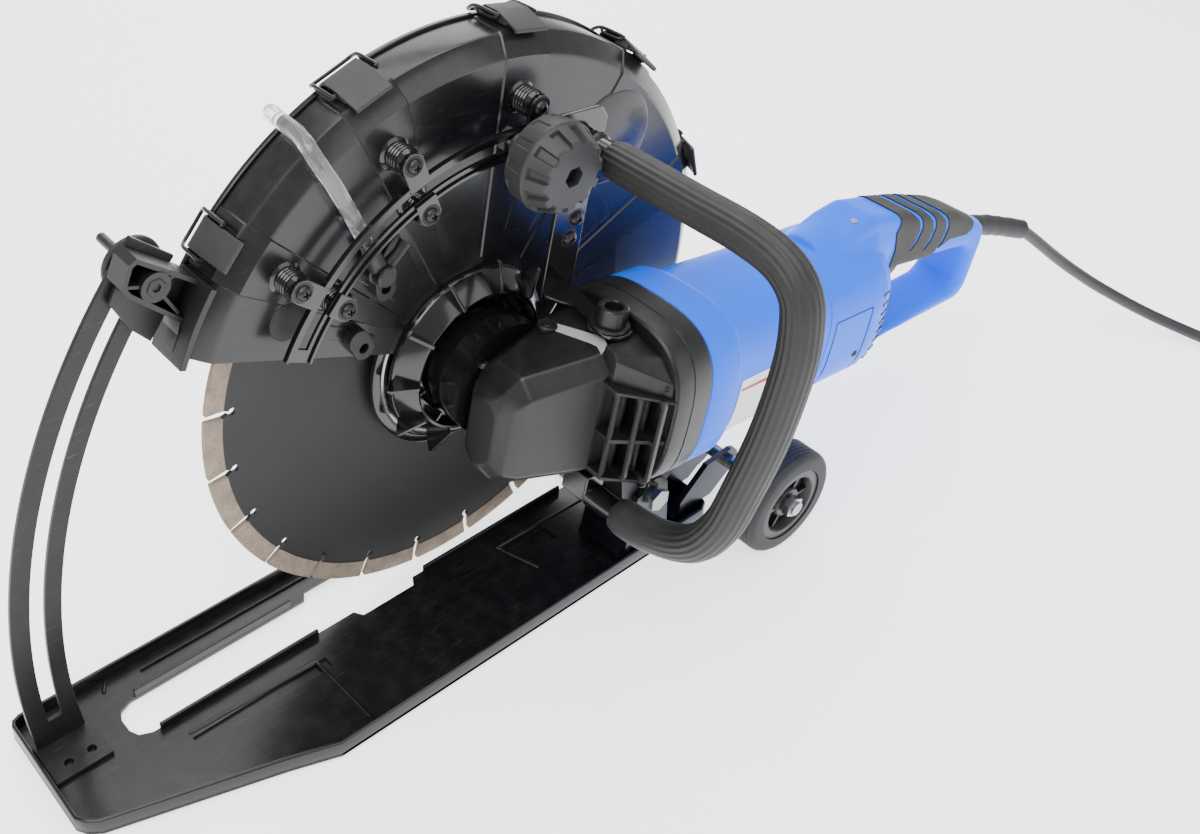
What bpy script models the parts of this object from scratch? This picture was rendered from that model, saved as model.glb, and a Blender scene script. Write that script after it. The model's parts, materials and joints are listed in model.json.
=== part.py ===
"""Electric cut-off saw for concrete on a wheeled guide base.

One object per piece of the machine.  Lengths below are in millimetres and are
turned into metres by the shape helpers.  Frames:

* ground frame: floor at z = 0, +X to the rear handle, -Y to the gearbox side
* spindle frame: the ground frame moved up to the blade's centre
* drive frame: at the blade's centre, tipped so that its X axis follows the motor
"""
import math

import bmesh
import bpy
from mathutils import Matrix, Vector

MM = 0.001
GAP = 0.3                       # clearance kept between touching pieces

# Overall layout
SHIFT_X = -92.4                # moves the machine so its box is centred on the origin
SHIFT_Y = 83.35
SPINDLE_Z = 178.4               # height of the blade's centre
TILT = math.radians(8.0)        # motor axis drops to the rear by this angle
MOTOR_Y = -86.0                 # motor axis, across the machine
HANDLE_Y = -84.0                # middle plane of the rear handle

# Blade and clamping
BLADE_R = 177.5
BLADE_CORE_R = 167.3
BLADE_BORE_R = 12.75
SEGMENTS = 24
SEGMENT_FIRST = 170.3           # angle of one slot, degrees
SPINDLE_R = 12.4

# Guard
GUARD_R = 203.0
GUARD_NEAR_Y = -14.0
GUARD_FAR_Y = 17.0
GUARD_START = -26.0             # the guard covers this range of angles
GUARD_END = 156.0
LATCH_ANGLES = (138.8, 108.2, 77.8, 47.3, 16.9)

# Guide base
PIVOT_X = 99.4
PIVOT_Z = 54.9
ARC_OUTER = 403.0
ARC_INNER = 372.2
ARC_SLOT = (382.4, 391.3)
SHEET_LOW = 2.0                 # the base sheet stands on its pressed beads
SHEET_HIGH = 5.0
RIM_HIGH = 14.0
WHEEL_X = 178.0
WHEEL_R = 39.5

# Supply cord
CORD_R = 4.5
COIL_X = 694.0
COIL_Y = -290.0
COIL_MID_R = 50.0

for item in list(bpy.data.objects):
    bpy.data.objects.remove(item, do_unlink=True)

parts = bpy.data.collections.new("cut_off_saw")
tools = bpy.data.collections.new("cutters")
bpy.context.scene.collection.children.link(parts)
bpy.context.scene.collection.children.link(tools)


# ---------------------------------------------------------------- materials
def material(name, colour, roughness, metallic=0.0):
    mat = bpy.data.materials.new(name)
    mat.use_nodes = True
    shader = mat.node_tree.nodes["Principled BSDF"]
    shader.inputs["Base Color"].default_value = (*colour, 1.0)
    shader.inputs["Roughness"].default_value = roughness
    shader.inputs["Metallic"].default_value = metallic
    mat.diffuse_color = (*colour, 1.0)
    return mat


BLACK_PAINT = ((0.014, 0.014, 0.016), 0.32, 0.0)
BLACK_NYLON = ((0.020, 0.020, 0.022), 0.45, 0.0)
BLUE = ((0.012, 0.125, 0.72), 0.38, 0.0)
RUBBER = ((0.030, 0.030, 0.032), 0.75, 0.0)
STEEL = ((0.55, 0.55, 0.56), 0.30, 1.0)
DARK_STEEL = ((0.055, 0.055, 0.060), 0.42, 0.6)


# ------------------------------------------------------------ shape helpers
def finish(name, mesh, parent, look, cutter=False):
    """Make an object from a mesh, put it in its collection and its frame."""
    obj = bpy.data.objects.new(name, mesh)
    obj.parent = parent
    if cutter:
        tools.objects.link(obj)
        obj.hide_render = True
        obj.display_type = "WIRE"
        return obj
    parts.objects.link(obj)
    mesh.materials.append(material(name, *look))
    return obj


def frame(name, parent=None, location=(0, 0, 0), rotation=(0, 0, 0)):
    empty = bpy.data.objects.new(name, None)
    empty.parent = parent
    empty.location = Vector(location) * MM
    empty.rotation_euler = rotation
    empty.hide_render = True
    tools.objects.link(empty)
    return empty


def face_out(bm):
    """Turn every face outwards."""
    bmesh.ops.recalc_face_normals(bm, faces=bm.faces)
    if bm.calc_volume(signed=True) < 0:
        bmesh.ops.reverse_faces(bm, faces=bm.faces)


def mesh_from(bm, name):
    face_out(bm)
    mesh = bpy.data.meshes.new(name)
    bm.to_mesh(mesh)
    bm.free()
    return mesh


def box(name, low, high, parent, look=None, cutter=False, bevel=0.0):
    bm = bmesh.new()
    bmesh.ops.create_cube(bm, size=1.0)
    size = (Vector(high) - Vector(low)) * MM
    middle = (Vector(high) + Vector(low)) * MM / 2
    bm.transform(Matrix.Translation(middle) @ Matrix.Diagonal((*size, 1.0)))
    obj = finish(name, mesh_from(bm, name), parent, look, cutter)
    if bevel:
        round_edges(obj, bevel)
    return obj


def rod(name, radius, start, end, parent, look=None, cutter=False, sides=24, tip=None):
    """A cylinder, or a cone if tip is given, between two points."""
    a = Vector(start) * MM
    b = Vector(end) * MM
    turn = (b - a).to_track_quat("Z", "Y").to_matrix().to_4x4()
    bm = bmesh.new()
    bmesh.ops.create_cone(bm, cap_ends=True, segments=sides, radius1=radius * MM,
                          radius2=(radius if tip is None else tip) * MM, depth=(b - a).length)
    bm.transform(Matrix.Translation((a + b) / 2) @ turn)
    obj = finish(name, mesh_from(bm, name), parent, look, cutter)
    smooth(obj)
    return obj


def turned(name, profile, parent, look=None, axis="Y", steps=32, location=(0, 0, 0), cutter=False):
    """A turned piece.  The profile is (radius, height) pairs from the top down
    its outer side; a profile that leaves the axis is closed into a ring."""
    bm = bmesh.new()
    verts = [bm.verts.new(Vector((r, 0, h)) * MM) for r, h in profile]
    for first, second in zip(verts, verts[1:]):
        bm.edges.new((first, second))
    if profile[0][0] > 0:
        bm.edges.new((verts[-1], verts[0]))
    mesh = bpy.data.meshes.new(name)
    bm.to_mesh(mesh)
    bm.free()
    obj = finish(name, mesh, parent, look, cutter)
    obj.location = Vector(location) * MM
    if axis == "Y":
        obj.rotation_euler = (-math.pi / 2, 0, 0)
    if axis == "X":
        obj.rotation_euler = (0, math.pi / 2, 0)
    screw = obj.modifiers.new("turn", "SCREW")
    screw.steps = steps
    screw.render_steps = steps
    screw.use_merge_vertices = True
    screw.merge_threshold = 0.00001
    return obj


def curve_to_mesh(curve_data, name):
    """Evaluate a curve, weld its caps and return the mesh."""
    holder = bpy.data.objects.new(name, curve_data)
    tools.objects.link(holder)
    bpy.context.view_layer.update()
    graph = bpy.context.evaluated_depsgraph_get()
    mesh = bpy.data.meshes.new_from_object(holder.evaluated_get(graph))
    bpy.data.objects.remove(holder, do_unlink=True)
    bm = bmesh.new()
    bm.from_mesh(mesh)
    bmesh.ops.remove_doubles(bm, verts=bm.verts, dist=0.00001)
    face_out(bm)
    bm.to_mesh(mesh)
    bm.free()
    return mesh


def add_spline(curve, points, closed):
    spline = curve.splines.new("POLY")
    spline.points.add(len(points) - 1)
    for point, place in zip(spline.points, points):
        point.co = (*(Vector(place) * MM), 1.0)
    spline.use_cyclic_u = closed


def slab(name, outlines, low, high, parent, look=None, plane="XZ", cutter=False, bevel=0.0):
    """A flat piece: a closed outline, with any holes after it, given thickness."""
    curve = bpy.data.curves.new(name, "CURVE")
    curve.dimensions = "2D"
    curve.fill_mode = "BOTH"
    curve.extrude = (high - low) / 2 * MM
    for outline in outlines:
        add_spline(curve, [(a, b, 0) for a, b in outline], True)
    mesh = curve_to_mesh(curve, name)
    middle = (high + low) / 2 * MM
    if plane == "XZ":
        mesh.transform(Matrix.Translation((0, middle, 0)) @ Matrix.Rotation(math.pi / 2, 4, "X"))
    else:
        mesh.transform(Matrix.Translation((0, 0, middle)))
    obj = finish(name, mesh, parent, look, cutter)
    if bevel:
        round_edges(obj, bevel)
    return obj


def tube(name, points, radius, parent, look=None, cutter=False, resolution=3):
    curve = bpy.data.curves.new(name, "CURVE")
    curve.dimensions = "3D"
    curve.bevel_depth = radius * MM
    curve.bevel_resolution = resolution
    curve.use_fill_caps = True
    add_spline(curve, points, False)
    obj = finish(name, curve_to_mesh(curve, name), parent, look, cutter)
    smooth(obj)
    return obj


def loft(name, sections, parent, look=None, cutter=False):
    """Skin a row of closed sections, which all have the same number of points."""
    bm = bmesh.new()
    rings = [[bm.verts.new(Vector(p) * MM) for p in section] for section in sections]
    count = len(rings[0])
    for front, back in zip(rings, rings[1:]):
        for i in range(count):
            j = (i + 1) % count
            bm.faces.new((front[i], front[j], back[j], back[i]))
    bm.faces.new(rings[0])
    bm.faces.new(rings[-1])
    obj = finish(name, mesh_from(bm, name), parent, look, cutter)
    smooth(obj)
    return obj


def smooth(obj, angle=35.0):
    obj.data.shade_smooth()
    obj.data.set_sharp_from_angle(angle=math.radians(angle))


def round_edges(obj, width, segments=2, angle=50.0):
    bevel = obj.modifiers.new("bevel", "BEVEL")
    bevel.width = width * MM
    bevel.segments = segments
    bevel.limit_method = "ANGLE"
    bevel.angle_limit = math.radians(angle)
    bevel.use_clamp_overlap = True


def combine(target, tool, operation):
    step = target.modifiers.new(operation.lower(), "BOOLEAN")
    step.operation = operation
    step.solver = "EXACT"
    step.object = tool


def cut(target, *cutters):
    for cutter in cutters:
        combine(target, cutter, "DIFFERENCE")


def fuse(target, *extras):
    for extra in extras:
        combine(target, extra, "UNION")


def polar(radius, degrees):
    a = math.radians(degrees)
    return radius * math.cos(a), radius * math.sin(a)


def arc_points(radius, start, end, count, centre=(0.0, 0.0)):
    step = (end - start) / (count - 1)
    places = [polar(radius, start + step * i) for i in range(count)]
    return [(centre[0] + x, centre[1] + z) for x, z in places]


def round_rect(s, y0, y1, u0, u1, radius, count=3):
    """A rounded rectangle across the drive frame's X axis, at X = s."""
    corners = ((y1 - radius, u1 - radius, 0), (y0 + radius, u1 - radius, 90),
               (y0 + radius, u0 + radius, 180), (y1 - radius, u0 + radius, 270))
    points = []
    for y, u, start in corners:
        for py, pu in arc_points(radius, start, start + 90, count, (y, u)):
            points.append((s, py, pu))
    return points


def oval(s, half_y, half_u, power=3.0, count=28, y=MOTOR_Y, u=0.0):
    """A superellipse across the drive frame's X axis, at X = s."""
    points = []
    for i in range(count):
        a = 2 * math.pi * i / count
        c, d = math.cos(a), math.sin(a)
        points.append((s, y + half_y * math.copysign(abs(c) ** (2 / power), c),
                       u + half_u * math.copysign(abs(d) ** (2 / power), d)))
    return points


def smooth_route(points, spacing):
    """Points every spacing along a Catmull-Rom curve through the given points."""
    knots = [Vector(p) for p in points]
    knots = [2 * knots[0] - knots[1]] + knots + [2 * knots[-1] - knots[-2]]
    fine = []
    for p0, p1, p2, p3 in zip(knots, knots[1:], knots[2:], knots[3:]):
        for i in range(24):
            t = i / 24
            fine.append(0.5 * (2 * p1 + (p2 - p0) * t + (2 * p0 - 5 * p1 + 4 * p2 - p3) * t ** 2
                               + (3 * p1 - p0 - 3 * p2 + p3) * t ** 3))
    fine.append(knots[-2])
    length = sum((b - a).length for a, b in zip(fine, fine[1:]))
    count = max(2, round(length / spacing))
    wanted = [length * i / count for i in range(count + 1)]
    route = [fine[0]]
    done = 0.0
    for a, b in zip(fine, fine[1:]):
        step = (b - a).length
        while len(route) < count and done + step >= wanted[len(route)]:
            route.append(a.lerp(b, (wanted[len(route)] - done) / step))
        done += step
    route.append(fine[-1])
    return route


# ------------------------------------------------------------------- frames
ground = frame("ground_frame", location=(SHIFT_X, SHIFT_Y, 0))
spindle_frame = frame("spindle_frame", ground, (0, 0, SPINDLE_Z))
drive = frame("drive_frame", spindle_frame, rotation=(0, TILT, 0))
pivot = frame("pivot_frame", ground, (PIVOT_X, 0, PIVOT_Z))
wheels = frame("wheel_frame", ground, (WHEEL_X, 0, WHEEL_R))


# --------------------------------------------------------------- guide base
SHEET_OUTLINE = [(-307, -44), (-303, -50), (-296, -55), (-193, -86), (-160, -97.5), (150, -97.5),
                 (157, -94), (160, -87), (160, -70), (157, -64), (150, -60), (125, -58), (125, 35),
                 (121, 40), (115, 41), (-300, 41), (-305, 39), (-307, 35)]
SHEET_SLOT = [(-251, 5), (-248, 11), (-240, 14.5), (-110, 14.5), (-106, 20.5), (-46, 20.5), (-42, 14.5),
              (98, 14.5), (104, 10), (104, -10), (98, -14.5), (-42, -14.5), (-46, -20.5), (-87, -20.5),
              (-91, -14.5), (-240, -14.5), (-248, -11), (-251, -5)]


def inset(outline, amount):
    """Move each corner of a convex-ish outline inwards along its two edges."""
    result = []
    count = len(outline)
    area = sum(outline[i][0] * outline[(i + 1) % count][1] - outline[(i + 1) % count][0] * outline[i][1]
               for i in range(count))
    side = 1 if area > 0 else -1
    for i in range(count):
        before = (Vector(outline[i]) - Vector(outline[i - 1])).normalized()
        after = (Vector(outline[(i + 1) % count]) - Vector(outline[i])).normalized()
        n1 = Vector((-before.y, before.x)) * side
        n2 = Vector((-after.y, after.x)) * side
        corner = n1 + n2
        corner *= amount * 2 / corner.length_squared
        result.append((outline[i][0] + corner.x, outline[i][1] + corner.y))
    return result


base_plate = slab("base_plate", [SHEET_OUTLINE, SHEET_SLOT], SHEET_LOW, SHEET_HIGH, ground,
                  BLACK_PAINT, "XY")
rim = slab("rim_upstand", [SHEET_OUTLINE, inset(SHEET_OUTLINE, 2.5)], SHEET_LOW + 0.5, RIM_HIGH,
           ground, plane="XY", cutter=True)
fuse(base_plate, rim)


def bead(name, x0, x1, y0, y1, low, high):
    end = min(3.0, (y1 - y0) / 3)
    outline = [(x0, y0 + end), (x0 + end, y0), (x1 - end, y0), (x1, y0 + end), (x1, y1 - end),
               (x1 - end, y1), (x0 + end, y1), (x0, y1 - end)]
    return slab(name, [outline], low, high, ground, plane="XY", cutter=True)


for index, (x0, x1, y0, y1) in enumerate(((-226, -125, -43, -31), (-226, 60, 24, 33), (-60, 60, -50, -34))):
    fuse(base_plate, bead(f"bead_under_{index}", x0, x1, y0, y1, 0.0, SHEET_LOW + 0.5))
    cut(base_plate, bead(f"bead_groove_{index}", x0 + 2, x1 - 2, y0 + 2, y1 - 2, 3.2, 8.0))

slot_lips = []
for index, (x0, x1) in enumerate(((-236, -120), (-34, 90))):
    for side in (-1, 1):
        y0, y1 = sorted((side * 14.7, side * 17.0))
        fuse(base_plate, box(f"slot_lip_{index}_{side + 1}", (x0, y0, 4.0), (x1, y1, 11.0), ground,
                             cutter=True))

# Foot and curved guide for the front arm, all one welded piece
foot_low = SHEET_HIGH + GAP
arc_top = 137.0
arc_foot = 187.0
outer_arc = arc_points(ARC_OUTER, arc_top, arc_foot, 22)
inner_arc = arc_points(ARC_INNER, arc_foot, arc_top, 22)
slot_out = arc_points(ARC_SLOT[1], arc_top + 1.2, 184.0, 20)
slot_in = arc_points(ARC_SLOT[0], 184.0, arc_top + 1.2, 20)
arc_guide = slab("arc_guide", [outer_arc + inner_arc, slot_out + slot_in], 13.5, 16.5, pivot, BLACK_PAINT)
foot = box("guide_foot", (-303 - PIVOT_X, -14, foot_low - PIVOT_Z),
           (-266 - PIVOT_X, 17.7, foot_low + 3 - PIVOT_Z), pivot, cutter=True)
fuse(arc_guide, foot)
cut(arc_guide, box("below_foot", (-440, -40, -80), (-330, 40, foot_low - PIVOT_Z), pivot, cutter=True))

# Pivot bracket: two cheeks on a floor plate
pivot_bracket = box("pivot_bracket", (-24, -94, SHEET_HIGH + GAP - PIVOT_Z),
                    (20, -52, SHEET_HIGH + GAP + 3 - PIVOT_Z), pivot, BLACK_PAINT)
cheek_outline = [(-23.5, SHEET_HIGH + 1 - PIVOT_Z), (19.5, SHEET_HIGH + 1 - PIVOT_Z), (13, 6)]
cheek_outline += arc_points(12, 20, 160, 7, (0, 3))
cheek_outline += [(-15, 6)]
for index, y in enumerate((-93.5, -56.5)):
    fuse(pivot_bracket, slab(f"cheek_{index}", [cheek_outline], y, y + 4, pivot, cutter=True))
cut(pivot_bracket, rod("pivot_hole", 5.2, (0, -110, 0), (0, -40, 0), pivot, cutter=True, sides=20))
pivot_pin = rod("pivot_pin", 5.0, (0, -100, 0), (0, -48, 0), pivot, STEEL, sides=20)
fuse(pivot_pin, rod("pin_head", 8.5, (0, -100, 0), (0, -96.5, 0), pivot, cutter=True, sides=6),
     rod("pin_nut", 8.5, (0, -51.5, 0), (0, -46.0, 0), pivot, cutter=True, sides=6))

# Axle bracket at the end of the tongue
axle_bracket = box("axle_bracket", (-46, -92, SHEET_HIGH + GAP - WHEEL_R),
                   (-23.5, -66.4, SHEET_HIGH + GAP + 3 - WHEEL_R), wheels, BLACK_PAINT)
axle_cheek = [(-45.5, SHEET_HIGH + GAP + 0.5 - WHEEL_R), (-24, SHEET_HIGH + GAP + 0.5 - WHEEL_R),
              (-24, RIM_HIGH + 1.5 - WHEEL_R), (-14, RIM_HIGH + 1.5 - WHEEL_R), (6, -8)]
axle_cheek += arc_points(10, -30, 110, 6) + [(-22, 8), (-45.5, -14)]
for index, y in enumerate((-91.5, -70.8)):
    fuse(axle_bracket, slab(f"axle_cheek_{index}", [axle_cheek], y, y + 4, wheels, cutter=True))
cut(axle_bracket, rod("axle_hole", 5.2, (0, -110, 0), (0, -50, 0), wheels, cutter=True, sides=20))
wheel_axle = rod("wheel_axle", 5.0, (0, -153, 0), (0, -29, 0), wheels, STEEL, sides=20)
fuse(wheel_axle, rod("axle_nut_near", 8.0, (0, -150.8, 0), (0, -146, 0), wheels, cutter=True, sides=6),
     rod("axle_nut_far", 8.0, (0, -34, 0), (0, -30, 0), wheels, cutter=True, sides=6))

tyre_profile = [(27.5, 13.5), (35.5, 13.5), (WHEEL_R, 9.0), (WHEEL_R, -9.0), (35.5, -13.5), (27.5, -13.5)]
hub_profile = [(5.3, 10.0), (11.0, 10.0), (12.0, 5.0), (20.0, 5.0), (21.5, 12.5), (27.2, 12.5),
               (27.2, -12.5), (20.0, -12.5), (20.0, -10.0), (5.3, -10.0)]
for side, y in (("near", -134.5), ("far", -46.3)):
    turned(f"tyre_{side}", tyre_profile, wheels, RUBBER, steps=36, location=(0, y, 0))
    hub = turned(f"hub_{side}", hub_profile, wheels, BLACK_NYLON, steps=20, location=(0, y, 0))
    if side == "near":
        hub.rotation_euler = (math.pi / 2, 0, 0)


# ------------------------------------------------------------ blade, spindle
blade = rod("blade", BLADE_R, (0, -1.7, 0), (0, 1.7, 0), spindle_frame, DARK_STEEL, sides=72)
for index, side in enumerate((-1, 1)):
    y0, y1 = sorted((side * 1.3, side * 3.0))
    cut(blade, rod(f"core_face_{index}", BLADE_CORE_R, (0, y0, 0), (0, y1, 0), spindle_frame,
                   cutter=True, sides=72))
cut(blade, rod("arbor_bore", BLADE_BORE_R, (0, -5, 0), (0, 5, 0), spindle_frame, cutter=True, sides=32))
slot_bm = bmesh.new()
for index in range(SEGMENTS):
    a = SEGMENT_FIRST + index * 360.0 / SEGMENTS
    turn = Matrix.Rotation(-math.radians(a), 4, "Y")
    outline = [(156.5, 0.0), (158.2, -2.2), (161.0, -2.6), (163.0, -1.4), (BLADE_R + 2, -2.2),
               (BLADE_R + 2, 2.2), (163.0, 1.4), (161.0, 2.6), (158.2, 2.2)]
    lower = [slot_bm.verts.new(turn @ (Vector((r, -3, t)) * MM)) for r, t in outline]
    upper = [slot_bm.verts.new(turn @ (Vector((r, 3, t)) * MM)) for r, t in outline]
    slot_bm.faces.new(lower)
    slot_bm.faces.new(list(reversed(upper)))
    for i in range(len(outline)):
        j = (i + 1) % len(outline)
        slot_bm.faces.new((lower[j], lower[i], upper[i], upper[j]))
cut(blade, finish("segment_slots", mesh_from(slot_bm, "segment_slots"), spindle_frame, None, cutter=True))

flange_profile = [(12.8, 4.0), (30.0, 4.0), (44.0, 2.6), (44.0, 0.0), (12.8, 0.0)]
turned("flange_outer", flange_profile, spindle_frame, STEEL, steps=32, location=(0, 1.6, 0))
turned("flange_inner", [(r, -h) for r, h in reversed(flange_profile)], spindle_frame, STEEL,
       steps=32, location=(0, -1.6, 0))
flange_bolt = rod("flange_bolt", 18.0, (0, 6.0, 0), (0, 8.5, 0), spindle_frame, STEEL, sides=24)
fuse(flange_bolt, rod("bolt_head", 9.8, (0, 8.0, 0), (0, 15.0, 0), spindle_frame, cutter=True, sides=6),
     rod("bolt_shank", 5.0, (0, -12, 0), (0, 7.0, 0), spindle_frame, cutter=True, sides=16))
spindle = turned("spindle", [(0, 5.0), (SPINDLE_R, 5.0), (SPINDLE_R, -52.0), (10.0, -52.0), (10.0, -70.0),
                             (23.5, -72.0), (23.5, -78.0), (19.0, -80.7), (7.0, -80.7), (0, -80.7)],
                 spindle_frame, STEEL, steps=20)
cut(spindle, rod("bolt_hole", 5.3, (0, -14, 0), (0, 9, 0), spindle_frame, cutter=True, sides=16))

turned("armature", [(0, 214.0), (4.5, 214.0), (4.5, 207.0), (10.5, 207.0), (10.5, 199.0), (5.5, 199.0),
                    (5.5, 192.0), (15.0, 192.0), (15.0, 174.0), (19.0, 172.0), (24.0, 168.0), (26.0, 164.0),
                    (26.0, 106.0), (22.0, 101.0), (10.0, 98.0), (10.0, 94.0), (36.0, 94.0), (36.0, 85.0),
                    (8.0, 85.0), (6.0, 80.0), (6.0, 30.0), (5.4, 27.0), (4.7, 17.0), (0, 17.0)],
       drive, STEEL, axis="X", steps=16, location=(0, MOTOR_Y, 0))


# ----------------------------------------------------- gearbox, motor, handle
gearbox = loft("gearbox_housing", [
    round_rect(-30, -79, -54, -42, 12, 8),
    round_rect(-27, -84, -51, -47, 19, 9),
    round_rect(-18, -89, -50, -49, 27, 10),
    round_rect(20, -107, -46, -47, 38, 12),
    round_rect(26, -112, -43, -48, 46, 13),
    round_rect(50, -138, -36, -50, 46, 16)], drive, BLACK_NYLON)
cut(gearbox,
    rod("gear_room", 25.2, (0, -82.2, 0), (0, -49, 0), drive, cutter=True, sides=32),
    loft("gearbox_room", [round_rect(8, -97, -54, -34, 24, 8), round_rect(20, -102, -52, -42, 33, 9),
                          round_rect(28, -107, -49, -43, 41, 9), round_rect(55, -134, -41, -45, 41, 12)],
         drive, cutter=True),
    rod("neck_seat", 38.3, (0, -50, 0), (0, -20, 0), drive, cutter=True, sides=40),
    rod("lock_hole", 6.8, (18, -60, 20), (18, -60, 60), drive, cutter=True, sides=20),
    rod("bracket_bolt_hole", 4.8, (38, -89, 30), (38, -89, 60), drive, cutter=True, sides=16))

turned("bearing_neck", [(13.0, -11.3), (33.0, -11.3), (38.0, -13.0), (38.0, -49.7), (13.0, -49.7)],
       spindle_frame, BLACK_NYLON, steps=32)

gearbox_flange = loft("gearbox_flange", [oval(50.3, 54, 55), oval(54, 54.5, 56), oval(76, 54.5, 56),
                                         oval(79.7, 54, 55.5)], drive, BLACK_NYLON)
cut(gearbox_flange, rod("bearing_seat", 12.0, (45, MOTOR_Y, 0), (84, MOTOR_Y, 0), drive, cutter=True),
    turned("fan_recess", [(0, 90.0), (40.0, 90.0), (40.0, 62.0), (0, 62.0)], drive, axis="X",
           location=(0, MOTOR_Y, 0), cutter=True))

motor_outside = [oval(80.0, 54, 55.5), oval(106, 54, 55.5), oval(112, 48.5, 50.5), oval(160, 47, 49),
                 oval(221.7, 45.5, 47.5)]
motor_inside = [oval(75, 50, 51.5), oval(104, 50, 51.5), oval(109, 45, 47), oval(226, 43, 45)]
motor_housing = loft("motor_housing", motor_outside, drive, BLUE)
cut(motor_housing, loft("motor_room", motor_inside, drive, cutter=True))
stator = rod("stator", 42.0, (104, MOTOR_Y, 0), (166, MOTOR_Y, 0), drive, STEEL, sides=36)
cut(stator, rod("stator_bore", 27.0, (98, MOTOR_Y, 0), (172, MOTOR_Y, 0), drive, cutter=True, sides=32))

HANDLE_OUTLINE = [(222.0, 47), (240, 54), (255, 60), (276, 64), (300, 60), (320, 56), (346, 51), (390, 39),
                  (426, 24.5), (433.5, 18), (436, 8), (435, -31), (430, -41), (422, -44), (345, -48.5),
                  (325, -50.5), (285, -52), (222.0, -47)]
HANDLE_GAP = [(303, 14), (319, 14.5), (331, 13.5), (362, 10.5), (387, 8.5), (411, 5.5), (417, 0), (418.5, -12),
              (418, -26), (412, -31), (378, -34), (333, -42), (306, -44), (300, -39), (300, 9)]
rear_handle = slab("rear_handle", [HANDLE_OUTLINE, HANDLE_GAP], HANDLE_Y - 19.5, HANDLE_Y + 19.5, drive,
                   BLUE)
round_edges(rear_handle, 6.0, 2, 60.0)
handle_body = loft("handle_body", [oval(222.0, 45.5, 47.5), oval(262, 45, 48), oval(276, 42, 46),
                                   oval(286, 33, 40)], drive, cutter=True)
fuse(rear_handle, handle_body)
cut(rear_handle,
    loft("switch_room", [oval(215, 41, 43), oval(262, 40, 43), oval(278, 30, 36)], drive, cutter=True),
    box("trigger_pocket", (306, HANDLE_Y - 9, 0), (348, HANDLE_Y + 9, 27), drive, cutter=True))

GRIP_TOP = [(300, 60), (320, 56), (346, 51), (390, 39), (414, 29.5)]
GRIP_LOW = [(410, 24), (402, 20.5), (379, 22.5), (364, 17.5), (356, 15), (331, 17.5), (308, 20)]
saddle = slab("grip_overmould", [[(a, b + 0.8) for a, b in GRIP_TOP] + GRIP_LOW], HANDLE_Y - 20.3,
              HANDLE_Y + 20.3, drive, RUBBER)
round_edges(saddle, 5.0, 2, 60.0)
core_top = [(a, b - 2.2) for a, b in GRIP_TOP]
core = [(290, core_top[0][1] + 2.0)] + core_top + [(430, 22), (430, -10), (290, -10)]
cut(saddle, slab("grip_core", [core], HANDLE_Y - 16.8, HANDLE_Y + 16.8, drive, cutter=True))
pocket = [(299.6, 61.0), (299.6, 80), (414.3, 60), (414.3, 28.9), (410.3, 23.6)] + [(a, b - 0.5) for a, b in GRIP_LOW[1:]]
pocket[-1] = (307.6, 19.5)
room = slab("overmould_room", [pocket], HANDLE_Y - 30, HANDLE_Y + 30, drive, cutter=True)
keep = [(a, b - 0.4) for a, b in core_top]
keep = [(280, keep[0][1] + 4.0)] + keep + [(450, 14), (450, -20), (280, -20)]
cut(room, slab("overmould_keep", [keep], HANDLE_Y - 16.4, HANDLE_Y + 16.4, drive, cutter=True))
cut(rear_handle, room)


def sleeve(name, places, radii, parent, look, sides=20):
    """A round tapered tube through a row of places, closed at both ends."""
    sections = []
    for i, (place, radius) in enumerate(zip(places, radii)):
        ahead = Vector(places[min(i + 1, len(places) - 1)])
        along = (ahead - Vector(places[max(i - 1, 0)])).normalized() if i else Vector((1, 0, 0))
        side = along.cross(Vector((0, 0, 1))).normalized()
        up = side.cross(along)
        turn = [2 * math.pi * k / sides for k in range(sides)]
        sections.append([Vector(place) + radius * (math.cos(a) * side + math.sin(a) * up) for a in turn])
    return loft(name, sections, parent, look)


RELIEF = [(436.4, HANDLE_Y, 7.0), (446, -84.8, 6.6), (462, -89, 5.2), (478, -96, 2.9), (492.8, -103, 0.2)]
strain_relief = sleeve("strain_relief", RELIEF, (8.6, 8.2, 8.0, 7.8, 7.4), drive, RUBBER)
relief_end = Vector(RELIEF[-1])
relief_axis = (relief_end - Vector(RELIEF[-2])).normalized()

# Trigger, hinged at its front end; its frame sits on the hinge
trigger_frame = frame("trigger_frame", drive, (312, HANDLE_Y, 13))
TRIGGER_OUTLINE = [(-3, 3), (31, 1), (31, -6), (27, -13), (15, -17), (6, -15), (-3, -9)]
trigger = slab("trigger", [TRIGGER_OUTLINE], -8, 8, trigger_frame, BLACK_NYLON)
round_edges(trigger, 1.2, 1)

# Spindle lock: a round button in the gearbox top
lock_frame = frame("lock_frame", drive, (18, -60, 34))
spindle_lock = rod("spindle_lock", 6.4, (0, 0, -8), (0, 0, 6.5), lock_frame, BLACK_NYLON, sides=20)

# Lug that carries the saw on the base
lug_outline = [(-30, 46), (-26, 10)] + arc_points(12, 200, 340, 7) + [(26, 10), (34, 46), (34, 62), (-30, 62)]
saw_lug = slab("saw_lug", [lug_outline], -89, -57, pivot, BLACK_PAINT)
cut(saw_lug, rod("lug_bore", 5.3, (0, -110, 0), (0, -40, 0), pivot, cutter=True, sides=20),
    loft("lug_seat", [oval(20, 55.2, 56.6), oval(107, 55.2, 56.6), oval(112.5, 49.2, 51.4), oval(200, 48, 50.2)],
         drive, cutter=True),
    box("lug_relief", (-14, -140, -70), (50.2, -30, 0), drive, cutter=True))


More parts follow.
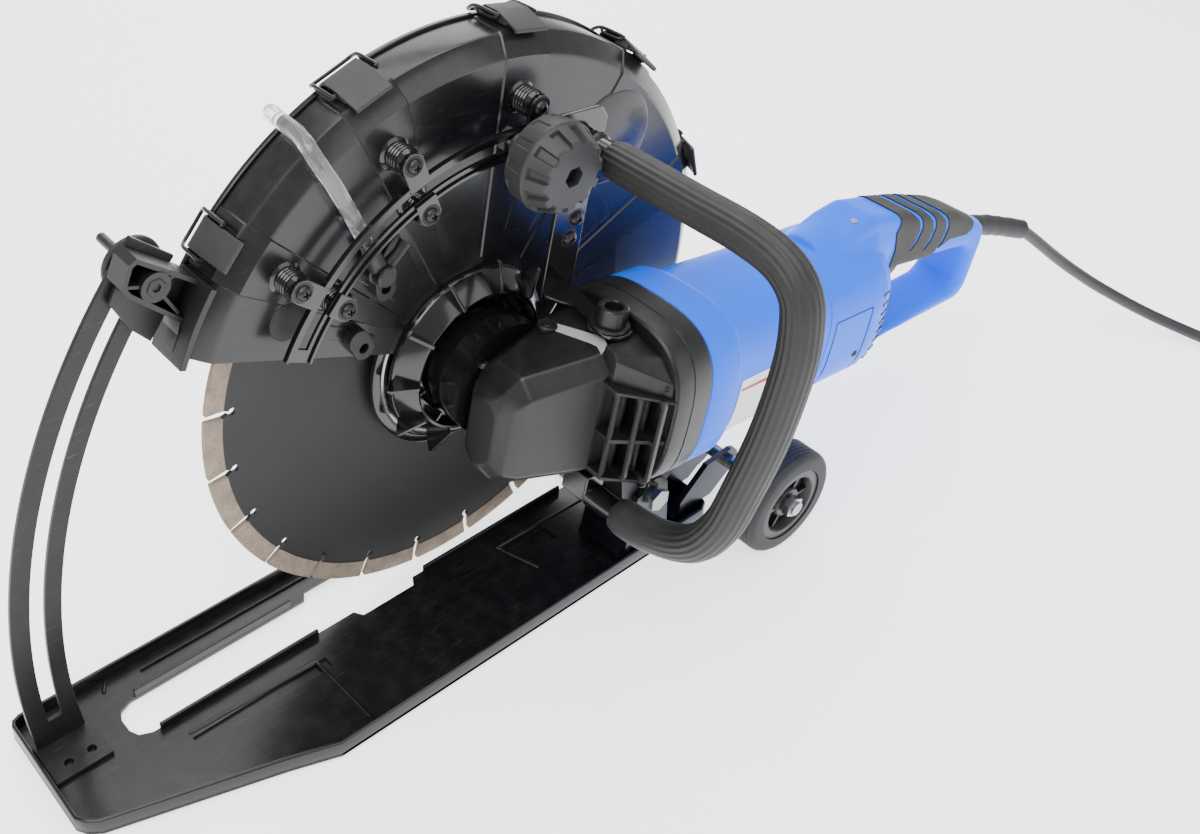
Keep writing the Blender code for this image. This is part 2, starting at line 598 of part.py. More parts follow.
# ---------------------------------------------------------------- guard
def guard_sector(name, profile, look, count, cutter=False):
    """Sweep a closed (radius, y) profile round the spindle over the guard's angles."""
    sections = []
    for i in range(count):
        a = math.radians(GUARD_START + (GUARD_END - GUARD_START) * i / (count - 1))
        sections.append([(r * math.cos(a), y, r * math.sin(a)) for r, y in profile])
    return loft(name, sections, spindle_frame, look, cutter)


guard_housing = guard_sector("guard_housing", [
    (39.0, -14.0), (191.0, -14.0), (GUARD_R - 1, -6.0), (GUARD_R, GUARD_FAR_Y), (GUARD_R - 2.8, GUARD_FAR_Y),
    (GUARD_R - 3.8, -5.0), (189.5, -11.2), (39.0, -11.2)], BLACK_PAINT, 41)
guard_cover = guard_sector("guard_cover", [
    (50.0, 19.2), (199.0, 19.2), (199.8, GUARD_FAR_Y + GAP), (GUARD_R + 2, GUARD_FAR_Y + GAP),
    (GUARD_R + 2, 20.5), (GUARD_R, 22.0), (50.0, 22.0)], BLACK_PAINT, 41)

turned("backing_ring", [(46.0, -6.4), (66.5, -6.4), (68.0, -7.6), (68.0, -10.8), (46.0, -10.8)],
       spindle_frame, BLACK_PAINT, steps=36)
guard_collar = turned("guard_collar", [(38.5, -14.4), (57.0, -14.4), (57.0, -17.0), (47.0, -26.6), (38.5, -26.6)],
                      spindle_frame, BLACK_NYLON, steps=36)
for index in range(11):
    a = math.radians(10 + index * 360 / 11)
    rib_frame = frame(f"rib_frame_{index}", spindle_frame, rotation=(0, -a, 0))
    rib = slab(f"collar_rib_{index}", [[(44, -24), (58.5, -14.6), (58.5, -27.5), (48, -30)]], -1.2, 1.2,
               rib_frame, plane="XY", cutter=True)
    fuse(guard_collar, rib)

# Curved clamping bar with its rubber-mounted posts
bar_out = arc_points(156, 62, 153, 26)
bar_in = arc_points(138, 153, 62, 26)
bar_slot_out = arc_points(150.5, 65, 150, 22)
bar_slot_in = arc_points(143.5, 150, 65, 22)
arc_bar = slab("arc_bar", [bar_out + bar_in, bar_slot_out + bar_slot_in], -31.0, -28.0, spindle_frame,
               BLACK_PAINT)
POSTS = ((138.5, 168.0), (138.5, 131.5), (108.5, 168.0), (108.5, 131.5), (78.0, 167.0))
for index, (angle, radius) in enumerate(POSTS, 1):
    x, z = polar(radius, angle)
    ear_frame = frame(f"ear_frame_{index}", spindle_frame, rotation=(0, -math.radians(angle), 0))
    reach = (152, radius + 6) if radius > 150 else (radius - 6, 142)
    fuse(arc_bar, box(f"bar_ear_{index}", (reach[0], -31, -6), (reach[1], -28, 6), ear_frame, cutter=True))
    post = rod(f"guard_post_{index}", 7.0, (x, -27.7, z), (x, GUARD_NEAR_Y - GAP, z), spindle_frame,
               BLACK_NYLON, sides=16)

# Latches between the housing and its cover: a lever and a wire bail each
for index, angle in enumerate(LATCH_ANGLES, 1):
    half = 9.2 if index == 1 else 12.0      # the first one is narrower, to pass the guide rod's disc
    side = half + (2.1 if index == 1 else 3.0)
    latch = frame(f"latch_frame_{index}", spindle_frame, rotation=(0, math.radians(90 - angle), 0))
    hinge = frame(f"lever_hinge_{index}", latch, (0, -12, 206.2))
    lever = slab(f"latch_lever_{index}", [[(-3, -3.5), (-3, 2.2), (-1, 4.2), (27, 4.2), (28.5, 2), (27, 2.2),
                                          (2, 2.0), (0, 0), (-0.8, -3.5)]], -half, half, hinge, BLACK_NYLON)
    lever.rotation_euler = (0, 0, math.pi / 2)
    wire = frame(f"bail_hinge_{index}", latch, (0, 2, 209.3))
    tube(f"latch_bail_{index}", [(-half - 0.4, 0, 0), (-side, 0, 0), (-side, 18, 0), (-side, 25, -6.0),
                                 (side, 25, -6.0), (side, 18, 0), (side, 0, 0), (half + 0.4, 0, 0)], 1.2, wire, STEEL, resolution=1)

# Front arm from the guard to the curved guide, with its guide rod and disc
ARM_OUTLINE = [(-201, 328), (-206, 326), (-211.6, 313.6), (-209, 308), (-183, 281)]
ARM_OUTLINE = [(x, z - SPINDLE_Z) for x, z in ARM_OUTLINE]
ARM_OUTLINE += arc_points(GUARD_R + 2.3, 156.5, 144.3, 8) + [(-173.5, 304.9 - SPINDLE_Z)]
front_arm = slab("front_arm", [ARM_OUTLINE], -3, 12, spindle_frame, BLACK_NYLON)
arm_flange = arc_points(GUARD_R + 4.5, 144.0, 157.0, 8) + arc_points(GUARD_R + 0.4, 157.0, 144.0, 8)
fuse(front_arm, slab("arm_flange", [arm_flange], -14, 16.5, spindle_frame, cutter=True))
ROD_ANGLE = 139.2               # place of the rod in the curved slot, about the pivot
rod_x, rod_z = polar(sum(ARC_SLOT) / 2, ROD_ANGLE)
ROD_X = PIVOT_X + rod_x
ROD_Z = PIVOT_Z + rod_z - SPINDLE_Z
cut(front_arm, rod("arm_bore", 4.3, (ROD_X, -20, ROD_Z), (ROD_X, 20, ROD_Z), spindle_frame, cutter=True))
rod_frame = frame("rod_frame", spindle_frame, (ROD_X, 0, ROD_Z))
clamp_rod = rod("clamp_rod", 4.0, (0, -6, 0), (0, 54, 0), rod_frame, STEEL, sides=20)
fuse(clamp_rod, rod("clamp_disc", 17.0, (0, 19, 0), (0, 23, 0), rod_frame, cutter=True, sides=32),
     rod("rod_head", 6.5, (0, -8, 0), (0, -3.4, 0), rod_frame, cutter=True, sides=6))

# Water feed: hose over the rim into a barbed valve on the guard wall
HOSE = [(-80, 28.5, 150), (-88, 30, 165), (-97, 29.5, 178), (-102, 25.5, 183.2), (-103, 19.5, 183.4),
        (-102.6, 13, 182.6), (-102.6, 4, 182.4), (-103.4, -4.5, 181.6), (-103.4, -9.5, 179),
        (-102.6, -14, 174.4), (-100, -17.8, 167), (-96, -20, 158.5), (-91.5, -20.9, 148), (-86, -20.9, 136),
        (-80, -20.9, 122), (-74.5, -20.9, 108)]
hose_route = smooth_route(HOSE, 9.0)
tube("water_hose", hose_route, 4.5, spindle_frame, ((0.72, 0.74, 0.76), 0.15, 0.0), resolution=2)
barb_start = hose_route[-1]
barb_axis = (hose_route[-1] - hose_route[-2]).normalized()
hose_valve = rod("hose_valve", 5.5, barb_start + barb_axis * 0.4, barb_start + barb_axis * 20, spindle_frame,
                 BLACK_NYLON, sides=16)
valve_end = barb_start + barb_axis * 16
fuse(hose_valve, rod("valve_body", 7.5, (valve_end.x, -27.5, valve_end.z), (valve_end.x, -14.3, valve_end.z),
                     spindle_frame, cutter=True, sides=16))


# ----------------------------------------------- top bracket, knob, U handle
neck = [(24, 46.3), (49, 46.3), (49, 108), (52, 126), (52, 160), (46, 167), (-4, 167), (-14, 158), (-14, 132),
        (-6, 126), (18, 122), (24, 108)]
top_bracket = slab("top_bracket", [neck], -46, -43, drive, BLACK_PAINT)
fuse(top_bracket, box("bracket_leaf", (26.5, -104, 46.3), (49.5, -43.5, 49.3), drive, cutter=True))
KNOB_X = 19.5
KNOB_Z = 146.0
cut(top_bracket, rod("leaf_hole", 4.8, (38, -89, 40), (38, -89, 55), drive, cutter=True, sides=16),
    rod("stud_hole", 4.3, (KNOB_X, -60, KNOB_Z), (KNOB_X, -30, KNOB_Z), spindle_frame, cutter=True, sides=16))
bracket_bolt = rod("bracket_bolt", 12.0, (38, -89, 49.6), (38, -89, 51.4), drive, DARK_STEEL, sides=20)
fuse(bracket_bolt, rod("cap_head", 9.4, (38, -89, 51), (38, -89, 62), drive, cutter=True, sides=20),
     rod("cap_shank", 4.5, (38, -89, 42), (38, -89, 51), drive, cutter=True, sides=16))

knob_frame = frame("knob_frame", spindle_frame, (KNOB_X, 0, KNOB_Z))
clamp_knob = rod("clamp_knob", 26.5, (0, -48, 0), (0, -76, 0), knob_frame, BLACK_NYLON, sides=48, tip=20.5)
for index in range(12):
    a = 360 / 12 * index
    x0, z0 = polar(28.5, a)
    x1, z1 = polar(22.8, a)
    cut(clamp_knob, rod(f"grip_groove_{index}", 3.0, (x0, -46, z0), (x1, -78, z1), knob_frame, cutter=True,
                        sides=8))
cut(clamp_knob, rod("hex_pocket", 6.2, (0, -80, 0), (0, -70, 0), knob_frame, cutter=True, sides=6),
    rod("knob_thread", 4.3, (0, -66, 0), (0, -40, 0), knob_frame, cutter=True, sides=16))
clamp_stud = rod("clamp_stud", 3.1, (0, -64, 0), (0, -24, 0), knob_frame, STEEL, sides=16)
fuse(clamp_stud, rod("stud_spacer", 7.0, (0, -42.6, 0), (0, -31.4, 0), knob_frame, cutter=True, sides=16),
     rod("stud_nut", 7.5, (0, -27.6, 0), (0, -22, 0), knob_frame, cutter=True, sides=6))

HANDLE_S = 38.0
U_ROUTE = [(-46.5, 146), (-60, 146), (-93, 146), (-129, 146), (-163, 146), (-187, 142), (-202, 131), (-208, 113),
           (-210, 90), (-208, 50), (-202, 9), (-195, -24), (-180, -48), (-152, -62), (-120, -66), (-96, -66)]
u_path = smooth_route([(HANDLE_S, y, u) for y, u in U_ROUTE], 14.0)
u_core = tube("u_handle_tube", u_path, 8.0, drive, BLACK_PAINT, resolution=2)
foam = tube("u_handle_foam", u_path[1:-2], 11.4, drive, RUBBER, resolution=3)
cut(foam, tube("foam_bore", u_path, 8.3, drive, cutter=True, resolution=2))
u_lug = box("u_handle_foot", (30, -104, -70), (46, -84, -50.4), drive, cutter=True)
fuse(u_core, u_lug)


# ------------------------------------------------------------------- cord
bpy.context.view_layer.update()
to_ground = ground.matrix_world.inverted() @ drive.matrix_world
cord_start = (to_ground @ ((relief_end + relief_axis * 1.4) * MM)) / MM
cord_heading = (to_ground.to_3x3() @ relief_axis).normalized()
FLOOR = CORD_R + 0.1
CORD_ROUTE = [cord_start, cord_start + cord_heading * 8, (512.8, -111.5, 88.0), (532, -121, 69.5),
              (550, -132, 55), (571, -148, 38.5), (598, -174, 19), (618.9, -211.5, 7.4), (630, -243, FLOOR),
              (632.8, -256, FLOOR)]
cord_path = [Vector((p[0], p[1], max(p[2], FLOOR))) for p in smooth_route(CORD_ROUTE, 18.0)]
tube("cord_tube", cord_path, CORD_R, ground, RUBBER, resolution=2)
ring = [(COIL_MID_R - 13.5, 27.0), (COIL_MID_R - 11, 27.6), (COIL_MID_R + 11, 27.6), (COIL_MID_R + 13.5, 24.0),
        (COIL_MID_R + 13.5, 3.0), (COIL_MID_R + 11, 0.1), (COIL_MID_R - 11, 0.1), (COIL_MID_R - 13.5, 3.0)]
turned("cord_coil", ring, ground, RUBBER, axis="Z", steps=28, location=(COIL_X, COIL_Y, 0))
TAIL = [(637.5, -331, 16), (643, -348, 11), (656, -368, 8), (672, -377, 10.5), (682, -378, 14)]
PLUG_X = 698.0
PLUG_Y = -378.0
plug = rod("cord_plug", 18.0, (PLUG_X, PLUG_Y, 18.4), (PLUG_X + 38, PLUG_Y, 18.4), ground, RUBBER, sides=28)
fuse(plug, rod("plug_neck", 10.0, (PLUG_X + 1, PLUG_Y, 18.4), (PLUG_X - 24, PLUG_Y, 12.0), ground,
               cutter=True, sides=20, tip=6.0),
     tube("plug_tail", smooth_route(TAIL, 12.0), CORD_R, ground, cutter=True, resolution=2),
     *(rod(f"plug_pin_{k}", 2.4, (PLUG_X + 37, PLUG_Y + k * 9.5, 18.4), (PLUG_X + 57, PLUG_Y + k * 9.5, 18.4),
           ground, cutter=True, sides=12) for k in (-1, 1)))
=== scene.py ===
"""Looks of the cut-off saw: materials, detailed pieces, camera, light and floor.

Pieces are shaped in millimetres in the frame they belong to, and are turned into
metres in the row frame when they are made.
"""
import json
import math

import bmesh
import bpy
from mathutils import Matrix, Vector


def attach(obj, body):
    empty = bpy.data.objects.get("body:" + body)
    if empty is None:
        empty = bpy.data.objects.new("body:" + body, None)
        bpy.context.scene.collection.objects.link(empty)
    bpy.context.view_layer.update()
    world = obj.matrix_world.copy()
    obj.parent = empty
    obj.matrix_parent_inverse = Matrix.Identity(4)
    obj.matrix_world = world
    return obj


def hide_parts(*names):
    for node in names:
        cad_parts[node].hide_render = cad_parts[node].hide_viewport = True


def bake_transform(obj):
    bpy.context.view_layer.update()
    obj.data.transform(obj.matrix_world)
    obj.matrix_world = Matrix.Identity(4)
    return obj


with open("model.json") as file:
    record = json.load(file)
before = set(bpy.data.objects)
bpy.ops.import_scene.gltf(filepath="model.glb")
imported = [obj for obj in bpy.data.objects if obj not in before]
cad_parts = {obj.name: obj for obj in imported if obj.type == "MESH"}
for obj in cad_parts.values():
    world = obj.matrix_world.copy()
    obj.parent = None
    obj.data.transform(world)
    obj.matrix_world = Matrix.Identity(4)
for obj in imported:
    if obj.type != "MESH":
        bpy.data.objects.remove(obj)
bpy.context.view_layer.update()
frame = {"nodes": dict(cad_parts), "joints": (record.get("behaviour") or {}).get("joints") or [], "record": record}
nodes = frame["nodes"]
joints = {joint["name"]: joint for joint in frame["joints"]}


def shift(x, y, z):
    return Matrix.Translation((x, y, z))


MM = 0.001
HUB = Vector(joints["blade_spin"]["pos_m"])
SCALE = Matrix.Scale(MM, 4)
MOTOR_LEAN = 8.0                      # degrees that the motor's axis leans down to the rear
SPINDLE_Z = 178.4                     # height of the blade's axis
PIVOT_X, PIVOT_Z = 99.4, 54.9         # tilt pivot, behind the blade's axis and above the floor
GROUND = shift(HUB.x, HUB.y, 0) @ SCALE
SPIN = Matrix.Translation(HUB) @ SCALE
DRIVE = SPIN @ Matrix.Rotation(math.radians(MOTOR_LEAN), 4, "Y")
PIVOT = GROUND @ shift(PIVOT_X, 0, PIVOT_Z)
WHEEL = GROUND @ shift(178.0, 0, 39.5)
MOTOR_Y = -86.0                       # motor's and rear handle's middle planes
HANDLE_Y = -84.0
LATCHES = (138.8, 108.2, 77.8, 47.3, 16.9)    # angles round the blade's axis, front to rear
SEGMENTS = 24
FIRST_GULLET = 170.3                  # angle of one blade gullet, degrees
SEGMENT_PITCH = 15                    # degrees from gullet to gullet
WALL_Y = -14.0                        # outer face of the guard's near wall
PANEL_INNER, PANEL_OUTER = 82, 128    # radii of the panels pressed into that wall
ROD_RADIUS, ROD_ANGLE = 386.85, 139.2    # guide rod, polar from the tilt pivot
GROOVE = (391.3, 382.4)               # outer and inner radius of the guide's slot
GUIDE = (403, 372.2)                  # and of the guide itself
FOOT_Z = 5.3 - PIVOT_Z                # underside of the guide's foot, from the tilt pivot
MOTOR_POWER = 3                       # squareness of the motor's oval section
LOOP_S = 38.0                         # plane of the U handle, along the motor's axis
SMOOTH_SHARE = 0.25                   # share of a turn of the coil that leads to the next


# ---------------------------------------------------------------- materials
def surface(name, colour, rough, metal=0.0, mottle=0.12, patch=25.0, grain=1400.0, bump=0.15,
            spread=0.05, dust=0.0, scratch=0.0, coat=0.0, wear=None, shine=0.4):
    """A node material: patchy colour and roughness, fine grain, dust and light scratches."""
    mat = bpy.data.materials.new(name)
    mat.use_nodes = True
    tree = mat.node_tree
    shader = tree.nodes["Principled BSDF"]
    shader.inputs["Metallic"].default_value = metal
    shader.inputs["Coat Weight"].default_value = coat
    shader.inputs["Coat Roughness"].default_value = 0.12
    shader.inputs["Specular IOR Level"].default_value = shine

    def make(kind, **values):
        """A node, with values for the inputs that are named."""
        node = tree.nodes.new("ShaderNode" + kind)
        for key, value in values.items():
            node.inputs[key.replace("_", " ")].default_value = value
        return node

    place = make("TexCoord").outputs["Object"]

    def noise(scale, detail=3.0, stretch=None, distortion=0.0):
        node = make("TexNoise", Scale=scale, Detail=detail, Distortion=distortion)
        source = place
        if stretch:
            mapping = make("Mapping", Scale=stretch, Rotation=(0.3, 0.5, 0.9))
            tree.links.new(place, mapping.inputs["Vector"])
            source = mapping.outputs["Vector"]
        tree.links.new(source, node.inputs["Vector"])
        return node.outputs["Fac"]

    def ramp(value, low, high, out_low=0.0, out_high=1.0):
        node = make("MapRange", From_Min=low, From_Max=high, To_Min=out_low, To_Max=out_high)
        tree.links.new(value, node.inputs["Value"])
        return node.outputs["Result"]

    def mix(factor, first, second):
        node = make("Mix")
        node.data_type = "RGBA"
        tree.links.new(factor, node.inputs["Factor"])
        for socket, value in ((node.inputs["A"], first), (node.inputs["B"], second)):
            if isinstance(value, tuple):
                socket.default_value = (*value, 1.0)
            else:
                tree.links.new(value, socket)
        return node.outputs["Result"]

    patches = noise(patch, 4.0)
    base = mix(ramp(patches, 0.3, 0.7), tuple(c * (1 - mottle) for c in colour),
               tuple(min(1.0, c * (1 + mottle)) for c in colour))
    grains = noise(grain, 2.0)
    base = mix(ramp(grains, 0.35, 0.75, 0.0, 0.22), base, tuple(min(1.0, c * 1.35 + 0.004) for c in colour))
    roughness = ramp(patches, 0.3, 0.7, max(0.02, rough - spread), rough + spread)
    if wear:
        worn = ramp(noise(patch * 7, 6.0, distortion=0.6), 0.60, 0.68)
        base = mix(worn, base, wear)
    if dust:
        split = make("SeparateXYZ")
        tree.links.new(make("NewGeometry").outputs["Normal"], split.inputs[0])
        lying = make("Math")
        lying.operation = "MULTIPLY"
        tree.links.new(ramp(split.outputs["Z"], 0.2, 1.0), lying.inputs[0])
        tree.links.new(ramp(noise(110.0, 6.0), 0.42, 0.8, 0.0, dust), lying.inputs[1])
        base = mix(lying.outputs[0], base, (0.30, 0.29, 0.27))
    if scratch:
        lines = ramp(noise(60.0, 2.0, (1.0, 26.0, 26.0)), 0.66, 0.72, 0.0, scratch)
        base = mix(lines, base, (0.32, 0.32, 0.33))
    tree.links.new(base, shader.inputs["Base Color"])
    tree.links.new(roughness, shader.inputs["Roughness"])
    relief = make("Bump", Strength=bump, Distance=0.0003)
    tree.links.new(grains, relief.inputs["Height"])
    tree.links.new(relief.outputs["Normal"], shader.inputs["Normal"])
    return mat


guard_black = surface("guard_black", (0.0055, 0.0055, 0.0065), 0.27, mottle=0.1, patch=14, grain=600,
                      bump=0.02, dust=0.05, scratch=0.05, coat=0.15)
sheet_black = surface("sheet_black", (0.005, 0.005, 0.006), 0.27, mottle=0.05, patch=12, grain=700,
                      spread=0.01, bump=0.03, dust=0.03, scratch=0.06, coat=0.10)
strip_black = surface("strip_black", (0.018, 0.0175, 0.017), 0.42, metal=0.4, mottle=0.25, patch=30,
                      grain=900, bump=0.18, scratch=0.10, dust=0.04)
cast_black = surface("cast_black", (0.0055, 0.0055, 0.006), 0.38, mottle=0.15, patch=22, grain=1700,
                     bump=0.28, dust=0.03)
nylon_black = surface("nylon_black", (0.008, 0.008, 0.0085), 0.40, patch=30, grain=1900, bump=0.30,
                      dust=0.03)
knob_grey = surface("knob_grey", (0.020, 0.020, 0.0205), 0.52, mottle=0.10, patch=35, grain=2200, bump=0.35,
                    dust=0.03)
latch_grey = surface("latch_grey", (0.024, 0.023, 0.0225), 0.50, patch=40, grain=2000, bump=0.30,
                     dust=0.04)
gloss_black = surface("gloss_black", (0.005, 0.005, 0.0055), 0.16, mottle=0.2, patch=30, grain=1200,
                      bump=0.05, coat=0.4)
blue = surface("blue_shell", (0.001, 0.125, 0.95), 0.42, mottle=0.05, patch=9, grain=2600, bump=0.12,
               spread=0.04, shine=0.15)
blue_seam = surface("blue_seam", (0.001, 0.012, 0.10), 0.55, mottle=0.10, grain=2600, bump=0.10)
grip_grey = surface("grip_grey", (0.026, 0.025, 0.0235), 0.70, mottle=0.10, patch=40, grain=1500, bump=0.55,
                    dust=0.03)
foam_grey = surface("foam_grey", (0.015, 0.0143, 0.0137), 0.52, mottle=0.14, patch=30, grain=1600,
                    bump=0.60, dust=0.05)
tyre_black = surface("tyre_black", (0.016, 0.016, 0.017), 0.66, mottle=0.15, patch=40, grain=1500,
                     bump=0.45, dust=0.05)
cord_grey = surface("cord_grey", (0.024, 0.024, 0.027), 0.42, patch=45, grain=1300, bump=0.22,
                    dust=0.03)
steel = surface("zinc_steel", (0.34, 0.34, 0.35), 0.30, metal=1.0, mottle=0.10, patch=60, grain=1200,
                bump=0.12, scratch=0.2)
dark_steel = surface("dark_steel", (0.03, 0.029, 0.029), 0.34, metal=0.7, mottle=0.2, patch=60, grain=1200)
rod_bronze = surface("rod_bronze", (0.06, 0.05, 0.043), 0.42, metal=0.8, mottle=0.2, patch=80, grain=1500,
                     bump=0.3)
core_grey = surface("core_grey", (0.013, 0.013, 0.0135), 0.55, metal=0.1, mottle=0.05, patch=10, grain=1300,
                    bump=0.10, scratch=0.01)
diamond = surface("diamond_segment", (0.24, 0.19, 0.145), 0.72, metal=0.1, mottle=0.28, patch=130,
                  grain=1100, bump=0.9, wear=(0.12, 0.085, 0.06))
stripe_grey = surface("stripe_grey", (0.36, 0.365, 0.37), 0.45, mottle=0.05, grain=1500)
label_white = surface("label_white", (0.70, 0.70, 0.70), 0.40, mottle=0.03, grain=1500, bump=0.05)
label_red = surface("label_red", (0.50, 0.03, 0.04), 0.40, mottle=0.05, grain=1500, bump=0.05)
hose_clear = surface("hose_clear", (0.88, 0.88, 0.87), 0.07, mottle=0.04, patch=60, grain=900, bump=0.05)
hose_clear.node_tree.nodes["Principled BSDF"].inputs["Transmission Weight"].default_value = 0.93
hose_clear.node_tree.nodes["Principled BSDF"].inputs["IOR"].default_value = 1.38
lamp_clear = surface("lamp_clear", (0.25, 0.27, 0.36), 0.18, mottle=0.05, patch=200, grain=900, bump=0.1,
                     coat=0.5)

CAD_LOOKS = {
    "steel": steel, "blade_steel": core_grey, "rubber": tyre_black, "black_paint": sheet_black,
    "black_nylon": nylon_black, "cast_black": cast_black, "blue_plastic": blue, "hose_clear": hose_clear,
    "guard_paint": guard_black}
for part in frame["record"]["subparts"]:
    mesh = nodes[part["node"]].data
    mesh.materials.clear()
    mesh.materials.append(CAD_LOOKS[part["material_slot"]])


# -------------------------------------------------------------- mesh helpers
def polar(radius, degrees):
    a = math.radians(degrees)
    return radius * math.cos(a), radius * math.sin(a)


def arc(radius, start, end, count, centre=(0.0, 0.0)):
    step = (end - start) / (count - 1)
    return [(centre[0] + polar(radius, start + step * i)[0], centre[1] + polar(radius, start + step * i)[1])
            for i in range(count)]


def rotate(degrees, axis="Y"):
    """A turn about an axis of the frame it is used in."""
    return Matrix.Rotation(math.radians(degrees), 4, axis)


def add(name, data):
    """An object with this data, linked into the scene."""
    obj = bpy.data.objects.new(name, data)
    bpy.context.scene.collection.objects.link(obj)
    return obj


def evaluated(obj):
    """An object's mesh as its modifiers or curve make it."""
    bpy.context.view_layer.update()
    return bpy.data.meshes.new_from_object(obj.evaluated_get(bpy.context.evaluated_depsgraph_get()))


def to_object(name, bm, place=None):
    """Close off a bmesh: move it into metres, turn its faces outwards, make the object."""
    if place is not None:
        bm.transform(place)
    bmesh.ops.recalc_face_normals(bm, faces=bm.faces)
    if bm.calc_volume(signed=True) < 0:
        bmesh.ops.reverse_faces(bm, faces=bm.faces)
    mesh = bpy.data.meshes.new(name)
    bm.to_mesh(mesh)
    bm.free()
    return add(name, mesh)


def settle(obj):
    """Turn an object's modifiers into its mesh."""
    mesh = evaluated(obj)
    obj.modifiers.clear()
    old = obj.data
    obj.data = mesh
    bpy.data.meshes.remove(old)
    return obj


def combine(obj, others, operation="DIFFERENCE"):
    """Cut the others out of a piece, or keep what they share with it."""
    for other in others:
        step = obj.modifiers.new("step", "BOOLEAN")
        step.operation = operation
        step.solver = "EXACT"
        step.object = other
    settle(obj)
    for other in others:
        bpy.data.objects.remove(other, do_unlink=True)
    return obj


def shade(obj, sharp=38.0):
    """Smooth shading, with edges over this many degrees left sharp."""
    obj.data.shade_smooth()
    obj.data.set_sharp_from_angle(angle=math.radians(sharp))
    return obj


def ease(obj, width, segments=2, angle=40.0, sharp=38.0):
    """Round the edges of a piece that are over angle, and smooth its shading."""
    bevel = obj.modifiers.new("bevel", "BEVEL")
    bevel.width = width * MM
    bevel.segments = segments
    bevel.limit_method = "ANGLE"
    bevel.angle_limit = math.radians(angle)
    bevel.use_clamp_overlap = True
    bevel.miter_outer = "MITER_ARC"
    settle(obj)
    shade(obj, sharp)
    weighted = obj.modifiers.new("weighted", "WEIGHTED_NORMAL")
    weighted.keep_sharp = True
    return settle(obj)


def finish(obj, body, look, slot, *replaced):
    """Give a piece its material and its body, and hide the CAD nodes it stands for. The slot is not used."""
    obj.data.materials.clear()
    obj.data.materials.append(look)
    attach(obj, body)
    if replaced:
        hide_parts(*replaced)
    return obj


def slab(name, outlines, low, high, place, plane="XZ"):
    """A flat piece with holes: outlines in the plane, low and high across it."""
    curve = bpy.data.curves.new(name, "CURVE")
    curve.dimensions = "2D"
    curve.fill_mode = "BOTH"
    curve.extrude = (high - low) / 2
    for outline in outlines:
        spline = curve.splines.new("POLY")
        spline.points.add(len(outline) - 1)
        for point, (a, b) in zip(spline.points, outline):
            point.co = (a, b, 0, 1)
        spline.use_cyclic_u = True
    holder = add(name, curve)
    mesh = evaluated(holder)
    bpy.data.objects.remove(holder, do_unlink=True)
    bm = bmesh.new()
    bm.from_mesh(mesh)
    bpy.data.meshes.remove(mesh)
    bmesh.ops.remove_doubles(bm, verts=bm.verts, dist=0.01)
    bm.transform(shift(0, 0, (low + high) / 2))
    if plane == "XZ":
        bm.transform(Matrix.Rotation(math.pi / 2, 4, "X"))
        bm.transform(shift(0, low + high, 0))
    elif plane == "YZ":
        bm.transform(Matrix(((0, 0, 1, 0), (1, 0, 0, 0), (0, 1, 0, 0), (0, 0, 0, 1))))
    return to_object(name, bm, place)


def block(name, low, high, place):
    """A box between two corners."""
    bm = bmesh.new()
    bmesh.ops.create_cube(bm, size=1.0)
    low, high = Vector(low), Vector(high)
    bm.transform(Matrix.Translation((low + high) / 2) @ Matrix.Diagonal((*(high - low), 1.0)))
    return to_object(name, bm, place)


def lathe(name, profile, place, axis="Y", steps=64, wobble=None):
    """A (radius, height) profile turned round an axis.  wobble(angle, i) is added to its radius."""
    bm = bmesh.new()
    rings = []
    for i, (radius, height) in enumerate(profile):
        if radius < 1e-6:
            rings.append([bm.verts.new((0, height, 0))])
            continue
        ring = []
        for k in range(steps):
            a = 2 * math.pi * k / steps
            r = radius + (wobble(a, i) if wobble else 0.0)
            ring.append(bm.verts.new((r * math.cos(a), height, r * math.sin(a))))
        rings.append(ring)
    pairs = list(zip(rings, rings[1:]))
    if len(rings[0]) > 1 and len(rings[-1]) > 1:
        pairs.append((rings[-1], rings[0]))
    for first, second in pairs:
        for k in range(steps):
            j = (k + 1) % steps
            if len(first) == 1:
                bm.faces.new((first[0], second[k], second[j]))
            elif len(second) == 1:
                bm.faces.new((first[k], first[j], second[0]))
            else:
                bm.faces.new((first[k], first[j], second[j], second[k]))
    if axis == "X":
        bm.transform(Matrix.Rotation(-math.pi / 2, 4, "Z"))
    elif axis == "Z":
        bm.transform(Matrix.Rotation(math.pi / 2, 4, "X"))
    return to_object(name, bm, place)


def loft(name, sections, place, cyclic=False):
    """A skin over sections with the same number of points."""
    bm = bmesh.new()
    rings = [[bm.verts.new(p) for p in section] for section in sections]
    count = len(rings[0])
    pairs = list(zip(rings, rings[1:]))
    if cyclic:
        pairs.append((rings[-1], rings[0]))
    for front, back in pairs:
        for i in range(count):
            j = (i + 1) % count
            bm.faces.new((front[i], front[j], back[j], back[i]))
    if not cyclic:
        bm.faces.new(rings[0])
        bm.faces.new(rings[-1])
    return to_object(name, bm, place)


